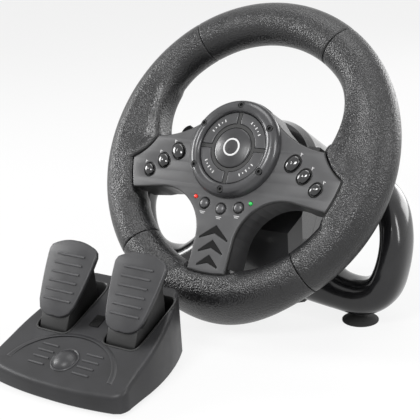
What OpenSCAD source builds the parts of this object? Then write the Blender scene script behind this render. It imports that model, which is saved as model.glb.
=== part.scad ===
// Racing wheel on a suction-cup base, with paddles and a separate two-pedal unit.
// Z is up, X is the driver's right, and the driver sits on the -Y side.
// Pieces of the wheel are drawn in wheel coordinates: x right, y up in the wheel's plane, z towards the
// driver, with the origin at the hub on the spoke face. on_wheel() puts them in place.

/* [Wheel] */
// Outside diameter of the rim
wheel_d = 270; // [255:1:330]
// Thickness of the rim's grip
grip_d = 36; // [32:1:38]
// Diameter of the moulded ring inside the grip
core_d = 24; // [20:1:26]
// Lean of the wheel's plane back from upright, in degrees
wheel_lean = 32; // [30:1:34]
// Gap between the surface and the lowest point of the rim
floor_gap = 16.6; // [14:0.5:24]
// Distance of the grip's centre behind the spoke face
rim_setback = 15.4; // [14:0.2:17]
// Thickness of the grey plate over the spokes
plate_t = 3; // [2:0.2:3.4]
// Depth of the moulded spokes behind the plate
spoke_depth = 24; // [22:1:26]
// Wall of the moulded spokes
spoke_wall = 2.5; // [2:0.1:3]

/* [Hub] */
// Outside radius of the hub's bezel
hub_r = 41.6; // [40:0.2:43]
// Inside radius of the hub's bezel
bezel_in_r = 30.6; // [30.2:0.1:31.4]
// Height of the bezel above the spoke face
bezel_h = 8.5; // [7:0.5:10]
// Radius of the round cap
cap_r = 17; // [15:0.5:17.4]
// Height of the cap above the spoke face
cap_h = 7.4; // [6:0.2:8]

/* [Buttons] */
// Travel of the spoke and hub buttons
button_travel = 1.5; // [1:0.1:1.6]
// Travel of the small round buttons
small_travel = 1; // [0.6:0.1:1.4]
// Side clearance round every button
button_gap = 0.4; // [0.3:0.05:0.6]
// Radius of the small round buttons
small_r = 4; // [3.5:0.1:4.6]
// Radius of the lamps
led_r = 1.5; // [1.2:0.1:2]

/* [Paddles] */
// Swing of a paddle towards the driver, in degrees
paddle_swing = 6; // [3:1:6]
// Distance of the paddle hinge from the wheel's axis
paddle_pivot_x = 55; // [54:0.5:58]
// Reach of a paddle past its hinge
paddle_reach = 29; // [24:1:32]
// Radius of the paddle's pin
paddle_pin_r = 1.5; // [1.2:0.1:1.8]

/* [Base] */
// Radius of the round housing round the steering column
column_r = 47; // [46:0.5:49]
// Distance of the housing's front behind the spoke face
column_front = 50; // [48:1:54]
// Length of the round housing
column_len = 84; // [76:1:92]
// Width of the base between the outsides of its loops
base_w = 278; // [270:1:300]
// Half depth of a loop's band, front to back
loop_half_depth = 18; // [16:0.5:20]
// Height of the base's underside above the surface
foot_gap = 7; // [6:0.5:9]
// Radius of a suction cup
cup_r = 15; // [13:0.5:16]

/* [Column] */
// Radius of the steering shaft
shaft_r = 8; // [7:0.5:9]
// Running clearance between the shaft and its bearings
shaft_clearance = 0.05; // [0.03:0.01:0.08]
// Turn of the wheel each way, in degrees
wheel_turn = 90; // [80:5:90]
// Teeth of the gear on the shaft
drive_teeth = 48; // [40:4:48]
// Teeth of the gear on the angle sensor
sensor_teeth = 16; // [14:1:16]
// Module of the two gears
gear_module = 1; // [0.9:0.05:1]

/* [Pedals] */
// Width of the pedal unit at its front
pedal_w = 130; // [125:1:150]
// Depth of the pedal unit, front to back
pedal_d = 112; // [105:1:130]
// Height of the pedal unit's front edge
pedal_front_h = 14; // [12:0.5:18]
// Slope of the pedal unit's top, in degrees
pedal_slope = 20; // [16:1:22]
// Distance of the two pads' centres
pad_spacing = 66; // [60:1:70]
// Length of a pad
pad_len = 61; // [56:1:72]
// Width of a pad at its widest
pad_w = 48; // [42:1:52]
// Angle of a pad above the horizontal at rest
pad_tilt = 54; // [46:1:58]
// Swing of a pedal when it is pressed
pedal_swing = 16; // [10:1:18]

/* [Hidden] */
$fn = 64;
touch_gap = 0.3;
running_gap = 0.08;

// The whole set stands with its footprint centred on the origin.
set_shift_x = 0;
set_shift_y = 35.6;

rim_r = (wheel_d - grip_d) / 2;
grip_r = grip_d / 2;
core_r = core_d / 2;
hub_height = floor_gap + grip_r + rim_r * cos(wheel_lean) + rim_setback * sin(wheel_lean);

module placed() {
    translate([set_shift_x, set_shift_y, 0]) children();
}

module on_wheel() {
    placed() translate([0, 0, hub_height]) rotate([90 - wheel_lean, 0, 0]) children();
}

module both_sides() {
    children();
    mirror([1, 0, 0]) children();
}

// ---- Spoke outline, drawn for a rim of 117 mm centre radius and scaled with the rim ----
// Each cut is an arc: its centre and its radius.
outline_k = rim_r / 117;
top_cut = [86, 86.5, 81.7] * outline_k;
thumb_cut = [121.7, 25, 46.7] * outline_k;
lower_cut = [58, -77.5, 40.5] * outline_k;
low_edge = [[72, -39.4], [90, -41.4]] * outline_k;
side_spoke_end = 101 * outline_k;
lower_spoke_end = 103.7 * outline_k;
lower_spoke_half = lower_cut[0] - lower_cut[2];

function middle(cut) = [cut[0], cut[1]];
function circles_meet(c1, r1, c2, r2, side) = let (
    d = norm(c2 - c1),
    a = (r1 * r1 - r2 * r2 + d * d) / (2 * d),
    h = sqrt(r1 * r1 - a * a),
    u = (c2 - c1) / d
) c1 + a * u + side * h * [-u[1], u[0]];
// Where the line from p towards q meets the circle, on its far (1) or near (-1) side.
function line_meets(p, q, c, r, side) = let (
    u = (q - p) / norm(q - p),
    w = c - p,
    along = w * u,
    off = w[0] * u[1] - w[1] * u[0]
) p + (along + side * sqrt(r * r - off * off)) * u;
function swing(from, to) = let (d = to - from) d > 180 ? d - 360 : d < -180 ? d + 360 : d;
// Points of an arc about c from p to q the short way, without q.
function arc_points(c, p, q, n) = let (
    r = norm(p - c),
    a = atan2(p[1] - c[1], p[0] - c[0]),
    turn = swing(a, atan2(q[1] - c[1], q[0] - c[0]))
) [for (i = [0 : n - 1]) c + r * [cos(a + turn * i / n), sin(a + turn * i / n)]];

// Right half of the three spokes' outline, moved in by the inset, with its ends on two arcs.
function spoke_outline(inset, side_end, low_end) = let (
    hub = hub_r - inset,
    top = middle(top_cut),
    thumb = middle(thumb_cut),
    lower = middle(lower_cut),
    low_step = inset * [0, 1],
    at_hub = circles_meet([0, 0], hub, top, top_cut[2] + inset, 1),
    at_tip = circles_meet(top, top_cut[2] + inset, thumb, thumb_cut[2] + inset, -1),
    at_end = circles_meet([0, 0], side_end - inset, thumb, thumb_cut[2] + inset, -1),
    at_low = line_meets(low_edge[0] + low_step, low_edge[1] + low_step, [0, 0], side_end - inset, 1),
    at_cut = line_meets(low_edge[1] + low_step, low_edge[0] + low_step, lower, lower_cut[2] + inset, -1),
    at_side = [lower_spoke_half - inset, lower[1]],
    at_foot = [lower_spoke_half - inset, -sqrt(pow(low_end - inset, 2) - pow(lower_spoke_half - inset, 2))]
) concat(
    arc_points([0, 0], [0, hub], at_hub, 6),
    arc_points(top, at_hub, at_tip, 14),
    arc_points(thumb, at_tip, at_end, 6),
    arc_points([0, 0], at_end, at_low, 4),
    [at_low],
    arc_points(lower, at_cut, at_side, 12),
    [at_side],
    arc_points([0, 0], at_foot, [0, inset - low_end], 3),
    [[0, inset - low_end]]);
module both_halves(points) {
    polygon(concat(points, [for (i = [len(points) - 2 : -1 : 1]) [-points[i][0], points[i][1]]]));
}

// Plan of the three spokes; a positive inset shrinks it by that much all round.
module spoke_plan(inset = 0) {
    both_halves(spoke_outline(inset, side_spoke_end, lower_spoke_end));
}

// The same plan, stopped short of the grip, for the pieces that lie behind the plate.
module frame_plan(inset = 0) {
    frame_end = rim_r - grip_r - touch_gap;
    both_halves(spoke_outline(inset, frame_end, frame_end));
}

module both_2d() {
    children();
    mirror([1, 0]) children();
}

frame_top = -plate_t;
frame_bottom = frame_top - spoke_depth;
cover_t = 2.5;
cover_bottom = frame_bottom - cover_t;

// ---- Rim ----
seam_top = 57;
seam_bottom = -48;
seam_gap = 0.2;
rim_z = -rim_setback;

module ring(from, to, outer, inner) {
    translate([0, 0, rim_z]) rotate([0, 0, from]) rotate_extrude(angle = to - from, $fn = 128)
        translate([rim_r, 0]) difference() {
            circle(r = outer, $fn = 48);
            circle(r = inner, $fn = 32);
        }
}

// Tongues that carry the inner ring, between each spoke's end and the ring.
tongue_z0 = rim_z - 7;
tongue_h = 10;
tongue_w = 20;
module tongues(clear = 0) {
    side_from = 88 * outline_k;
    for (side = [-1, 1]) mirror([side < 0 ? 1 : 0, 0, 0])
        translate([side_from, -34 * outline_k - clear, tongue_z0 - clear])
            cube([rim_r - side_from - 8, tongue_w + 2 * clear - 6, tongue_h + 2 * clear]);
    translate([-tongue_w / 2 - clear, -rim_r + 2, tongue_z0 - clear])
        cube([tongue_w + 2 * clear, grip_r + 3, tongue_h + 2 * clear]);
}

// Web that carries a grip's skin from the rim in to the spoke, and the thumb rest beside the spoke.
web_z0 = frame_bottom + 1;
web_h = spoke_depth - 1.3;
thumb_from = -4;
thumb_to = 11;
thumb_top_angle = 204;
thumb_inner = 84 * outline_k;
thumb_outer = 97 * outline_k;
module web_sector(from, to, inner, step) {
    translate([0, 0, web_z0 + step]) rotate(from) rotate_extrude(angle = to - from, $fn = 128) difference() {
        translate([inner, 0]) square([rim_r - inner, web_h - 2 * step]);
        translate([rim_r, rim_z - web_z0 - step]) circle(r = core_r + touch_gap, $fn = 32);
    }
}
module thumb_web() {
    arc_r = thumb_cut[2] - touch_gap;
    tip = middle(thumb_cut) + arc_r * [cos(thumb_top_angle), sin(thumb_top_angle)];
    low = circles_meet([0, 0], thumb_outer - 2, middle(thumb_cut), arc_r, -1);
    translate([0, 0, web_z0 + 1]) linear_extrude(web_h - 2) polygon(concat(
        arc_points(middle(thumb_cut), tip, low, 6),
        [low, thumb_outer * [cos(thumb_from), sin(thumb_from)], thumb_outer * [cos(3), sin(3)],
            thumb_outer * [cos(thumb_to), sin(thumb_to)], (thumb_inner + 2) * [cos(thumb_to), sin(thumb_to)]]));
}

module rim_cover(from, to) {
    ring(from + seam_gap, to - seam_gap, grip_r, core_r + touch_gap);
}

module rim_top_cover() {
    color([0.13, 0.13, 0.135]) on_wheel() rim_cover(seam_top, 180 - seam_top);
}

module grip() {
    difference() {
        union() {
            rim_cover(seam_bottom, seam_top);
            web_sector(-27, thumb_to + 1, rim_r - grip_r, 0);
            web_sector(thumb_from - 0.6, thumb_to + 0.5, thumb_outer - 2, 0.5);
            thumb_web();
        }
        tongues(touch_gap);
    }
}

module right_grip() {
    color([0.14, 0.14, 0.145]) on_wheel() grip();
}

module left_grip() {
    color([0.14, 0.14, 0.145]) on_wheel() mirror([1, 0, 0]) grip();
}

module rim_bottom_cover() {
    web_angle = asin((lower_spoke_half + 2) / (rim_r - grip_r));
    color([0.13, 0.13, 0.135]) on_wheel() difference() {
        union() {
            rim_cover(180 - seam_bottom, 360 + seam_bottom);
            web_sector(270 - web_angle, 270 + web_angle, rim_r - grip_r, 0);
        }
        tongues(touch_gap);
    }
}

// ---- Moulded wheel frame ----
frame_floor_z = -15.5;
frame_floor_t = 2.5;
shaft_boss_r = 14;
screw_places = concat(
    [for (side = [-1, 1]) [side * 34, 18]],
    [for (side = [-1, 1]) [side * 80 * outline_k, -32 * outline_k]],
    [for (y = [-60, -92]) [0, y * outline_k]]);
screw_r = 1.5;
screw_boss_r = 3.6;

module wheel_frame() {
    color([0.1, 0.1, 0.1]) on_wheel() {
        difference() {
            union() {
                translate([0, 0, frame_bottom]) linear_extrude(spoke_depth) difference() {
                    frame_plan();
                    frame_plan(spoke_wall);
                }
                translate([0, 0, frame_floor_z - frame_floor_t]) linear_extrude(frame_floor_t)
                    frame_plan(spoke_wall / 2);
                translate([0, 0, frame_bottom]) cylinder(r = shaft_boss_r, h = frame_floor_z - frame_bottom);
                for (place = screw_places)
                    translate([place[0], place[1], frame_bottom])
                        cylinder(r = screw_boss_r, h = frame_floor_z - frame_bottom, $fn = 32);
                for (place = board_posts)
                    translate([place[0], place[1], frame_floor_z - 1])
                        cylinder(r = 2.5, h = board_z - board_t - frame_floor_z + 1, $fn = 24);
                tongues();
                translate([0, 0, rim_z]) rotate_extrude($fn = 128) translate([rim_r, 0])
                    circle(r = core_r, $fn = 48);
            }
            translate([0, 0, frame_bottom - 1]) cylinder(r = shaft_r + shaft_clearance, h = spoke_depth + 2);
            for (place = screw_places)
                translate([place[0], place[1], frame_bottom - 1]) cylinder(r = screw_r, h = 10, $fn = 24);
        }
    }
}

// Ears that hold the paddle pins, behind the back cover.
ear_y = [-21, 13];
ear_t = 4;
paddle_z = cover_bottom - 9;
module paddle_ears() {
    both_sides() for (y = ear_y) difference() {
        union() {
            translate([paddle_pivot_x - 5, y, paddle_z]) cube([10, ear_t, cover_bottom - paddle_z + 0.5]);
            translate([paddle_pivot_x, y + ear_t, paddle_z]) rotate([90, 0, 0])
                cylinder(r = 5, h = ear_t, $fn = 32);
        }
        translate([paddle_pivot_x, y + ear_t + 1, paddle_z]) rotate([90, 0, 0])
            cylinder(r = paddle_pin_r + 0.02, h = ear_t + 2, $fn = 32);
    }
}

module wheel_back_cover() {
    color([0.09, 0.09, 0.09]) on_wheel() {
        difference() {
            translate([0, 0, cover_bottom]) linear_extrude(cover_t) frame_plan();
            translate([0, 0, cover_bottom - 1]) cylinder(r = shaft_boss_r + 9, h = cover_t + 2);
            for (place = screw_places)
                translate([place[0], place[1], cover_bottom - 1])
                    cylinder(r = screw_r + 0.3, h = cover_t + 2, $fn = 24);
        }
        paddle_ears();
    }
}

module wheel_screws() {
    color([0.6, 0.6, 0.62]) on_wheel() for (place = screw_places) translate([place[0], place[1], 0]) {
        translate([0, 0, cover_bottom - 1.8]) difference() {
            cylinder(r = 2.8, h = 1.8, $fn = 32);
            translate([0, 0, -0.1]) cylinder(r = 1.3, h = 1.1, $fn = 6);
        }
        translate([0, 0, cover_bottom - 0.1]) cylinder(r = screw_r - 0.05, h = 9, $fn = 24);
    }
}

// ---- Face plate and what is set in it ----
// Row of three oval buttons on a side spoke: place, half width along the row, half length across it.
row_step = [12.4, -9.35];
row_first = [55, -6.5];
row_angle = atan2(row_step[1], row_step[0]);
row_sizes = [[5.3, 6.9], [4.8, 6.1], [4.3, 5.3]];
function row_place(i) = (row_first + i * row_step) * outline_k;
small_places = [[-16.4, -47.6], [0, -50.4], [16.4, -47.6]];
led_place = [26.4, -42.9];

// Oval with its long axis along y, as two round ends and a barrel between them.
module oval(half_w, half_l) {
    reach = half_l - half_w * 0.86;
    intersection() {
        union() for (s = [-1, 1]) translate([0, s * reach]) circle(r = half_w, $fn = 40);
        square([2 * half_w, 2 * half_l], center = true);
    }
    square([1.96 * half_w, 2 * reach], center = true);
}

module row_hole(i, margin) {
    translate(row_place(i)) rotate(row_angle) oval(row_sizes[i][0] + margin, row_sizes[i][1] + margin);
}

// Chevrons down the lower spoke: tip, the reach of the arms and the width of the band.
chevrons = [[-64.6, 13.6, 10.6], [-76.8, 11.4, 9.6], [-89.3, 9.8, 8.3]];
chevron_band = 6.4;
chevron_depth = 0.9;
module chevron(c, grow) {
    tip_y = c[0];
    arm_x = c[1];
    arm_drop = c[2];
    end_y = tip_y - arm_drop;
    polygon([[0, tip_y + grow], [arm_x + grow, end_y + grow], [arm_x + grow, end_y - 1.4 - 1.5 * grow],
        [0, tip_y - chevron_band - 1.5 * grow], [-arm_x - grow, end_y - 1.4 - 1.5 * grow],
        [-arm_x - grow, end_y + grow]]);
}

module face_plate() {
    color([0.42, 0.42, 0.43]) on_wheel() difference() {
        translate([0, 0, -plate_t]) linear_extrude(plate_t) difference() {
            spoke_plan();
            circle(r = cap_stem_r + touch_gap, $fn = 32);
            both_2d() for (i = [0 : 2]) row_hole(i, button_gap);
            for (place = small_places) translate(place) circle(r = small_r + button_gap, $fn = 40);
            both_2d() translate(led_place) circle(r = led_r + 0.1, $fn = 24);
            for (quarter = [0 : 3]) rotate(45 + 90 * quarter) translate([arc_mid_r, 0])
                circle(r = arc_stem_r + button_gap, $fn = 32);
        }
        translate([0, 0, -chevron_depth]) linear_extrude(chevron_depth + 1) for (c = chevrons) chevron(c, 0);
    }
}

module chevron_inlays() {
    color([0.03, 0.03, 0.03]) on_wheel() translate([0, 0, -chevron_depth]) linear_extrude(chevron_depth - 0.2)
        for (c = chevrons) chevron(c, -0.15);
}

// Round bezel: a raised ring with sloping sides and six counterbored bolt seats.
bolt_ring_r = 36;
bolt_seat_r = 2.9;
bolt_seat_z = 5.2;
bolt_angles = [for (i = [0 : 5]) 30 + 60 * i];
module hub_bezel() {
    color([0.16, 0.16, 0.17]) on_wheel() difference() {
        rotate_extrude($fn = 128) polygon([[bezel_in_r, 0], [hub_r, 0], [hub_r, 2.2], [hub_r - 1.2, 5],
            [hub_r - 3.6, 7.4], [hub_r - 6.6, bezel_h], [bezel_in_r + 3, bezel_h - 0.3],
            [bezel_in_r + 1, bezel_h - 1.4], [bezel_in_r, bezel_h - 3.2]]);
        for (a = bolt_angles) rotate(a) translate([bolt_ring_r, 0, bolt_seat_z])
            cylinder(r = bolt_seat_r, h = 10, $fn = 32);
        for (a = bolt_angles) rotate(a) translate([bolt_ring_r, 0, -1])
            cylinder(r = 1.3, h = 10, $fn = 24);
    }
}

module bezel_bolts() {
    color([0.2, 0.2, 0.2]) on_wheel() for (a = bolt_angles) rotate(a) translate([bolt_ring_r, 0, 0]) {
        translate([0, 0, bolt_seat_z]) difference() {
            cylinder(r = 2.5, h = 2, $fn = 32);
            translate([0, 0, 1]) cylinder(r = 1.2, h = 1.1, $fn = 6);
        }
        translate([0, 0, 0.1]) cylinder(r = 1.2, h = bolt_seat_z, $fn = 24);
    }
}

// Divider: a ring round the cap and four arms between the arc buttons.
divider_r = 20.2;
divider_h = 4.6;
arm_w = 3;
module hub_divider() {
    color([0.12, 0.12, 0.12]) on_wheel() difference() {
        union() {
            cylinder(r = divider_r, h = divider_h);
            for (quarter = [0 : 3]) rotate(90 * quarter) translate([0, -arm_w / 2, 0])
                cube([bezel_in_r - touch_gap, arm_w, divider_h]);
        }
        translate([0, 0, -1]) cylinder(r = cap_r + touch_gap, h = divider_h + 2);
    }
}

cap_stem_r = 4;
module hub_cap() {
    color([0.13, 0.13, 0.13]) on_wheel() {
        intersection() {
            cylinder(r = cap_r, h = cap_h);
            translate([0, 0, cap_h - 60]) sphere(r = 60, $fn = 96);
        }
        translate([0, 0, -2.4]) cylinder(r = cap_stem_r, h = 3, $fn = 32);
    }
}

// Arc buttons: quarter rings on a stem, between the divider and the bezel.
arc_in_r = divider_r + button_gap;
arc_out_r = bezel_in_r - button_gap;
arc_mid_r = (arc_in_r + arc_out_r) / 2;
arc_stem_r = 2.2;
arc_bottom = 1.9;
arc_top = 5.2;
module arc_button(turn) {
    edge = arm_w / 2 + button_gap;
    color([0.25, 0.25, 0.26]) on_wheel() rotate(turn) {
        translate([0, 0, arc_bottom]) linear_extrude(arc_top - arc_bottom) intersection() {
            difference() {
                circle(r = arc_out_r, $fn = 96);
                circle(r = arc_in_r);
            }
            translate([edge, edge]) square(arc_out_r);
        }
        rotate(45) translate([arc_mid_r, 0, stem_end_z])
            cylinder(r = arc_stem_r, h = arc_bottom + 0.1 - stem_end_z, $fn = 32);
    }
}

module hub_button_upper_right() { arc_button(0); }
module hub_button_upper_left() { arc_button(90); }
module hub_button_lower_left() { arc_button(180); }
module hub_button_lower_right() { arc_button(270); }

// Oval spoke button: a domed head through the plate, and a flange that keeps it in.
head_h = 2.6;
flange_t = 1.2;
flange_lip = 0.9;
stem_end_z = -5.6;
module row_button(i) {
    size = row_sizes[i];
    place = row_place(i);
    flange_top = -plate_t - touch_gap;
    color([0.04, 0.04, 0.04]) translate([place[0], place[1], 0]) rotate(row_angle) {
        intersection() {
            translate([0, 0, flange_top - 0.1]) linear_extrude(head_h - flange_top + 1)
                oval(size[0] - 0.5, size[1] - 0.5);
            translate([0, 0, head_h - 12]) sphere(r = 12, $fn = 64);
        }
        translate([0, 0, flange_top - flange_t]) linear_extrude(flange_t)
            oval(size[0] + flange_lip, size[1] + flange_lip);
        translate([0, 0, stem_end_z]) cylinder(r = 1.8, h = flange_top - stem_end_z, $fn = 24);
    }
}

module right_button_inner() { on_wheel() row_button(0); }
module right_button_middle() { on_wheel() row_button(1); }
module right_button_outer() { on_wheel() row_button(2); }
module left_button_inner() { on_wheel() mirror([1, 0, 0]) row_button(0); }
module left_button_middle() { on_wheel() mirror([1, 0, 0]) row_button(1); }
module left_button_outer() { on_wheel() mirror([1, 0, 0]) row_button(2); }

module small_button(place) {
    color([0.45, 0.45, 0.46]) on_wheel() translate([place[0], place[1], 0]) {
        intersection() {
            translate([0, 0, -plate_t - 0.5]) cylinder(r = small_r, h = 8);
            translate([0, 0, 1.8 - 7]) sphere(r = 7);
        }
        translate([0, 0, -plate_t - touch_gap - flange_t]) cylinder(r = small_r + 1.2, h = flange_t);
        translate([0, 0, stem_end_z]) cylinder(r = 1.6, h = 2, $fn = 24);
    }
}

module small_button_left() { small_button(small_places[0]); }
module small_button_centre() { small_button(small_places[1]); }
module small_button_right() { small_button(small_places[2]); }

// Lamps stand on the board and end in a dome at the face.
module led(side, tint) {
    color(tint) on_wheel() translate([side * led_place[0], led_place[1], 0]) {
        translate([0, 0, board_z]) cylinder(r = led_r, h = -board_z, $fn = 24);
        sphere(r = led_r, $fn = 24);
    }
}
module red_led() { led(-1, [0.8, 0.1, 0.12]); }
module green_led() { led(1, [0.1, 0.55, 0.25]); }

// Board behind the plate, with one switch below each stem.
board_z = -10;
board_t = 1.6;
switch_gap = 0.35;
board_posts = concat(
    [for (side = [-1, 1]) [side * 47 * outline_k, -26 * outline_k]],
    [for (side = [-1, 1]) [side * 86 * outline_k, -34 * outline_k]]);
module switch_at(place, travel) {
    top = stem_end_z - travel - switch_gap;
    translate([place[0], place[1], board_z]) cylinder(r = 2.6, h = top - board_z, $fn = 24);
}
module wheel_circuit_board() {
    color([0.05, 0.3, 0.15]) on_wheel() {
        translate([0, 0, board_z - board_t]) linear_extrude(board_t) difference() {
            frame_plan(spoke_wall + 1.2);
            circle(r = 17);
            translate([-60, -200]) square([120, 200 - 58 * outline_k]);
        }
        both_sides() for (i = [0 : 2]) switch_at(row_place(i), button_travel);
        for (place = small_places) switch_at(place, small_travel);
        for (quarter = [0 : 3]) rotate(45 + 90 * quarter) switch_at([arc_mid_r, 0], button_travel);
    }
}

// Rumble motors lie in the rear room of the side spokes.
module rumble_motors() {
    motor_r = 3.6;
    color([0.65, 0.65, 0.66]) on_wheel() both_sides()
        translate([60 * outline_k, -22 * outline_k, frame_bottom + motor_r + touch_gap])
            rotate([0, 90, 0]) cylinder(r = motor_r, h = 16, $fn = 32);
}

// ---- Steering column ----
column_back = column_front + column_len;
shaft_front_z = frame_floor_z;
shaft_back_z = -column_back + 12;
shaft_flange_r = 20;
module steering_shaft() {
    color([0.7, 0.7, 0.72]) on_wheel() difference() {
        union() {
            translate([0, 0, shaft_back_z]) cylinder(r = shaft_r, h = shaft_front_z - shaft_back_z);
            translate([0, 0, cover_bottom - 2]) cylinder(r = shaft_flange_r, h = cover_t + 2);
        }
        translate([0, 0, shaft_front_z - 16]) cylinder(r = 2.5, h = 17, $fn = 32);
    }
}

module shaft_bolt() {
    color([0.6, 0.6, 0.62]) on_wheel() {
        translate([0, 0, shaft_front_z]) difference() {
            cylinder(r = 11, h = 3.6, $fn = 48);
            translate([0, 0, 1.6]) cylinder(r = 3, h = 3, $fn = 6);
        }
        translate([0, 0, shaft_front_z - 14]) cylinder(r = 2.45, h = 14.1, $fn = 32);
    }
}

// Involute gear outline: flanks follow the involute between the root and the tip.
gear_pressure = 20;
gear_backlash = 0.35;
function involute(base, t) = base * [cos(t) + t * PI / 180 * sin(t), sin(t) - t * PI / 180 * cos(t)];
function involute_t(base, r) = r <= base ? 0 : sqrt(pow(r / base, 2) - 1) * 180 / PI;
function turn2(p, a) = [p[0] * cos(a) - p[1] * sin(a), p[0] * sin(a) + p[1] * cos(a)];
module gear_plan(teeth) {
    pitch = gear_module * teeth / 2;
    base = pitch * cos(gear_pressure);
    tip = pitch + gear_module * 0.9;
    root = pitch - gear_module * 1.2;
    flank_at_pitch = tan(gear_pressure) * 180 / PI - gear_pressure;
    half_tooth = 90 / teeth - gear_backlash / pitch * 90 / PI;
    start = involute_t(base, max(root, base));
    end = involute_t(base, tip);
    steps = 4;
    polygon([for (i = [0 : teeth - 1]) let (a = 360 / teeth * i)
        each concat(
            [turn2([root, 0], a - half_tooth - flank_at_pitch)],
            [for (s = [0 : steps]) let (p = involute(base, start + (end - start) * s / steps))
                turn2(p, a - half_tooth - flank_at_pitch)],
            [for (s = [steps : -1 : 0]) let (p = involute(base, start + (end - start) * s / steps))
                turn2([p[0], -p[1]], a + half_tooth + flank_at_pitch)],
            [turn2([root, 0], a + half_tooth + flank_at_pitch)])]);
}

gear_z = -column_front - 32;
gear_t = 5;
gear_distance = gear_module * (drive_teeth + sensor_teeth) / 2;
stop_arm_r = 27;
module drive_gear() {
    color([0.85, 0.85, 0.8]) on_wheel() difference() {
        union() {
            translate([0, 0, gear_z]) linear_extrude(gear_t) gear_plan(drive_teeth);
            translate([0, 0, gear_z - 5]) cylinder(r = 12, h = 6);
            translate([-3, 0, gear_z - 5]) cube([6, stop_arm_r, 4.6]);
        }
        translate([0, 0, gear_z - 6]) cylinder(r = shaft_r + 0.02, h = gear_t + 8);
    }
}

// The sensor's gear and spindle sit below the shaft; half a tooth's turn puts the teeth in mesh.
sensor_turn = 90 + 180 / sensor_teeth;
spindle_r = 2.5;
sensor_top = gear_z - 2 - touch_gap;
sensor_h = 9;
module sensor_gear() {
    color([0.9, 0.9, 0.85]) on_wheel() translate([0, -gear_distance, 0]) rotate(sensor_turn) {
        translate([0, 0, gear_z]) linear_extrude(gear_t) gear_plan(sensor_teeth);
        translate([0, 0, gear_z - 2]) cylinder(r = 4.5, h = 3, $fn = 32);
        translate([0, 0, sensor_top - sensor_h + 1]) cylinder(r = spindle_r, h = sensor_h + 1, $fn = 32);
    }
}

module angle_sensor() {
    color([0.2, 0.25, 0.35]) on_wheel() translate([0, -gear_distance, sensor_top]) difference() {
        union() {
            translate([0, 0, -sensor_h]) cylinder(r = 8, h = sensor_h, $fn = 48);
            translate([-8, -9, -sensor_h - 3]) cube([16, 17, 3.2]);
        }
        translate([0, 0, -sensor_h]) cylinder(r = spindle_r + running_gap, h = sensor_h + 1, $fn = 32);
    }
}

// Frame: two bearing plates joined by side rails, screwed into the housing.
bearing_z = [-column_front - 14, -column_back + 20];
bearing_r = 13;
bearing_t = 8;
frame_plate_t = 5;
frame_half = 33;
module column_frame() {
    color([0.3, 0.3, 0.32]) on_wheel() difference() {
        union() {
            for (z = bearing_z) translate([-frame_half, -20, z - frame_plate_t])
                cube([2 * frame_half, 40, frame_plate_t]);
            for (z = bearing_z) translate([0, 0, z - bearing_t])
                cylinder(r = bearing_r + 3, h = bearing_t);
            for (side = [-1, 1]) translate([side * (frame_half - 2) - 2, -20, bearing_z[1] - 1])
                cube([4, 40, bearing_z[0] - bearing_z[1]]);
            // shelf for the angle sensor
            translate([-12, -gear_distance - 12, bearing_z[1] - frame_plate_t])
                cube([24, gear_distance - 6, frame_plate_t]);
            translate([-9, -gear_distance - 10, bearing_z[1] - 1])
                cube([18, 19, sensor_top - sensor_h - 3 - touch_gap - bearing_z[1] + 1]);
        }
        for (z = bearing_z) translate([0, 0, z - bearing_t - 1])
            cylinder(r = bearing_r + 0.02, h = bearing_t + 2);
    }
}

module shaft_bearings() {
    color([0.75, 0.7, 0.5]) on_wheel() for (z = bearing_z) translate([0, 0, z - bearing_t]) difference() {
        cylinder(r = bearing_r, h = bearing_t);
        translate([0, 0, -1]) cylinder(r = shaft_r + shaft_clearance, h = bearing_t + 2);
    }
}

// Spring coil round the shaft, shown by its closed outer shape.
module centring_spring() {
    spring_z = bearing_z[1] + touch_gap;
    spring_len = gear_z - 5 - touch_gap - 14 - spring_z;
    color([0.5, 0.5, 0.52]) on_wheel() translate([0, 0, spring_z]) difference() {
        cylinder(r = 13, h = spring_len);
        translate([0, 0, -1]) cylinder(r = shaft_r + 2, h = spring_len + 2);
    }
}

// Rubber blocks that the shaft's stop arm meets at either end of its turn.
module rubber_stops() {
    stop_r = stop_arm_r - 6;
    color([0.08, 0.08, 0.08]) on_wheel() both_sides()
        rotate(90 - wheel_turn) translate([stop_r - 3, -3 - 7.2, gear_z - 5.2]) cube([8, 7, 4.8]);
}

// ---- Base housing, in upright coordinates with the wheel's centre above the origin ----
body_half_w = column_r;
body_front = 14;
body_back = 96;
body_top = hub_height - 30;
plate_top = foot_gap + 3;
shell_wall = 2.5;
split_z = -column_front - 26;

module tilted() {
    translate([0, 0, hub_height]) rotate([90 - wheel_lean, 0, 0]) children();
}

// Plan of the upright body, with its upright edges cut off.
body_corner = 9;
module body_plan(inset) {
    half = body_half_w - inset;
    front = body_front + inset;
    back = body_back - inset;
    cut = body_corner - inset * 0.586;
    polygon([[-half, front + cut], [-half + cut, front], [half - cut, front], [half, front + cut],
        [half, back - cut], [half - cut, back], [-half + cut, back], [-half, back - cut]]);
}

// Outside of the housing: a round case on the column and an upright body under it.
module housing_form(inset) {
    tilted() translate([0, 0, -column_back + inset])
        rotate_extrude($fn = 128) polygon([[0, 0], [column_r - 14 - inset, 0], [column_r - 4.5 - inset, 4],
            [column_r - inset, 14], [column_r - inset, column_len - 10 - 2 * inset],
            [column_r - 4 - inset, column_len - 2 * inset], [0, column_len - 2 * inset]]);
    intersection() {
        translate([0, 0, plate_top - (inset > 0 ? 1 : 0)])
            linear_extrude(body_top - inset - plate_top + (inset > 0 ? 1 : 0)) body_plan(inset);
        tilted() translate([-100, -200, -300 - column_front - inset]) cube([200, 300, 300]);
    }
}

module housing_walls() {
    difference() {
        housing_form(0);
        housing_form(shell_wall);
    }
}

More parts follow.
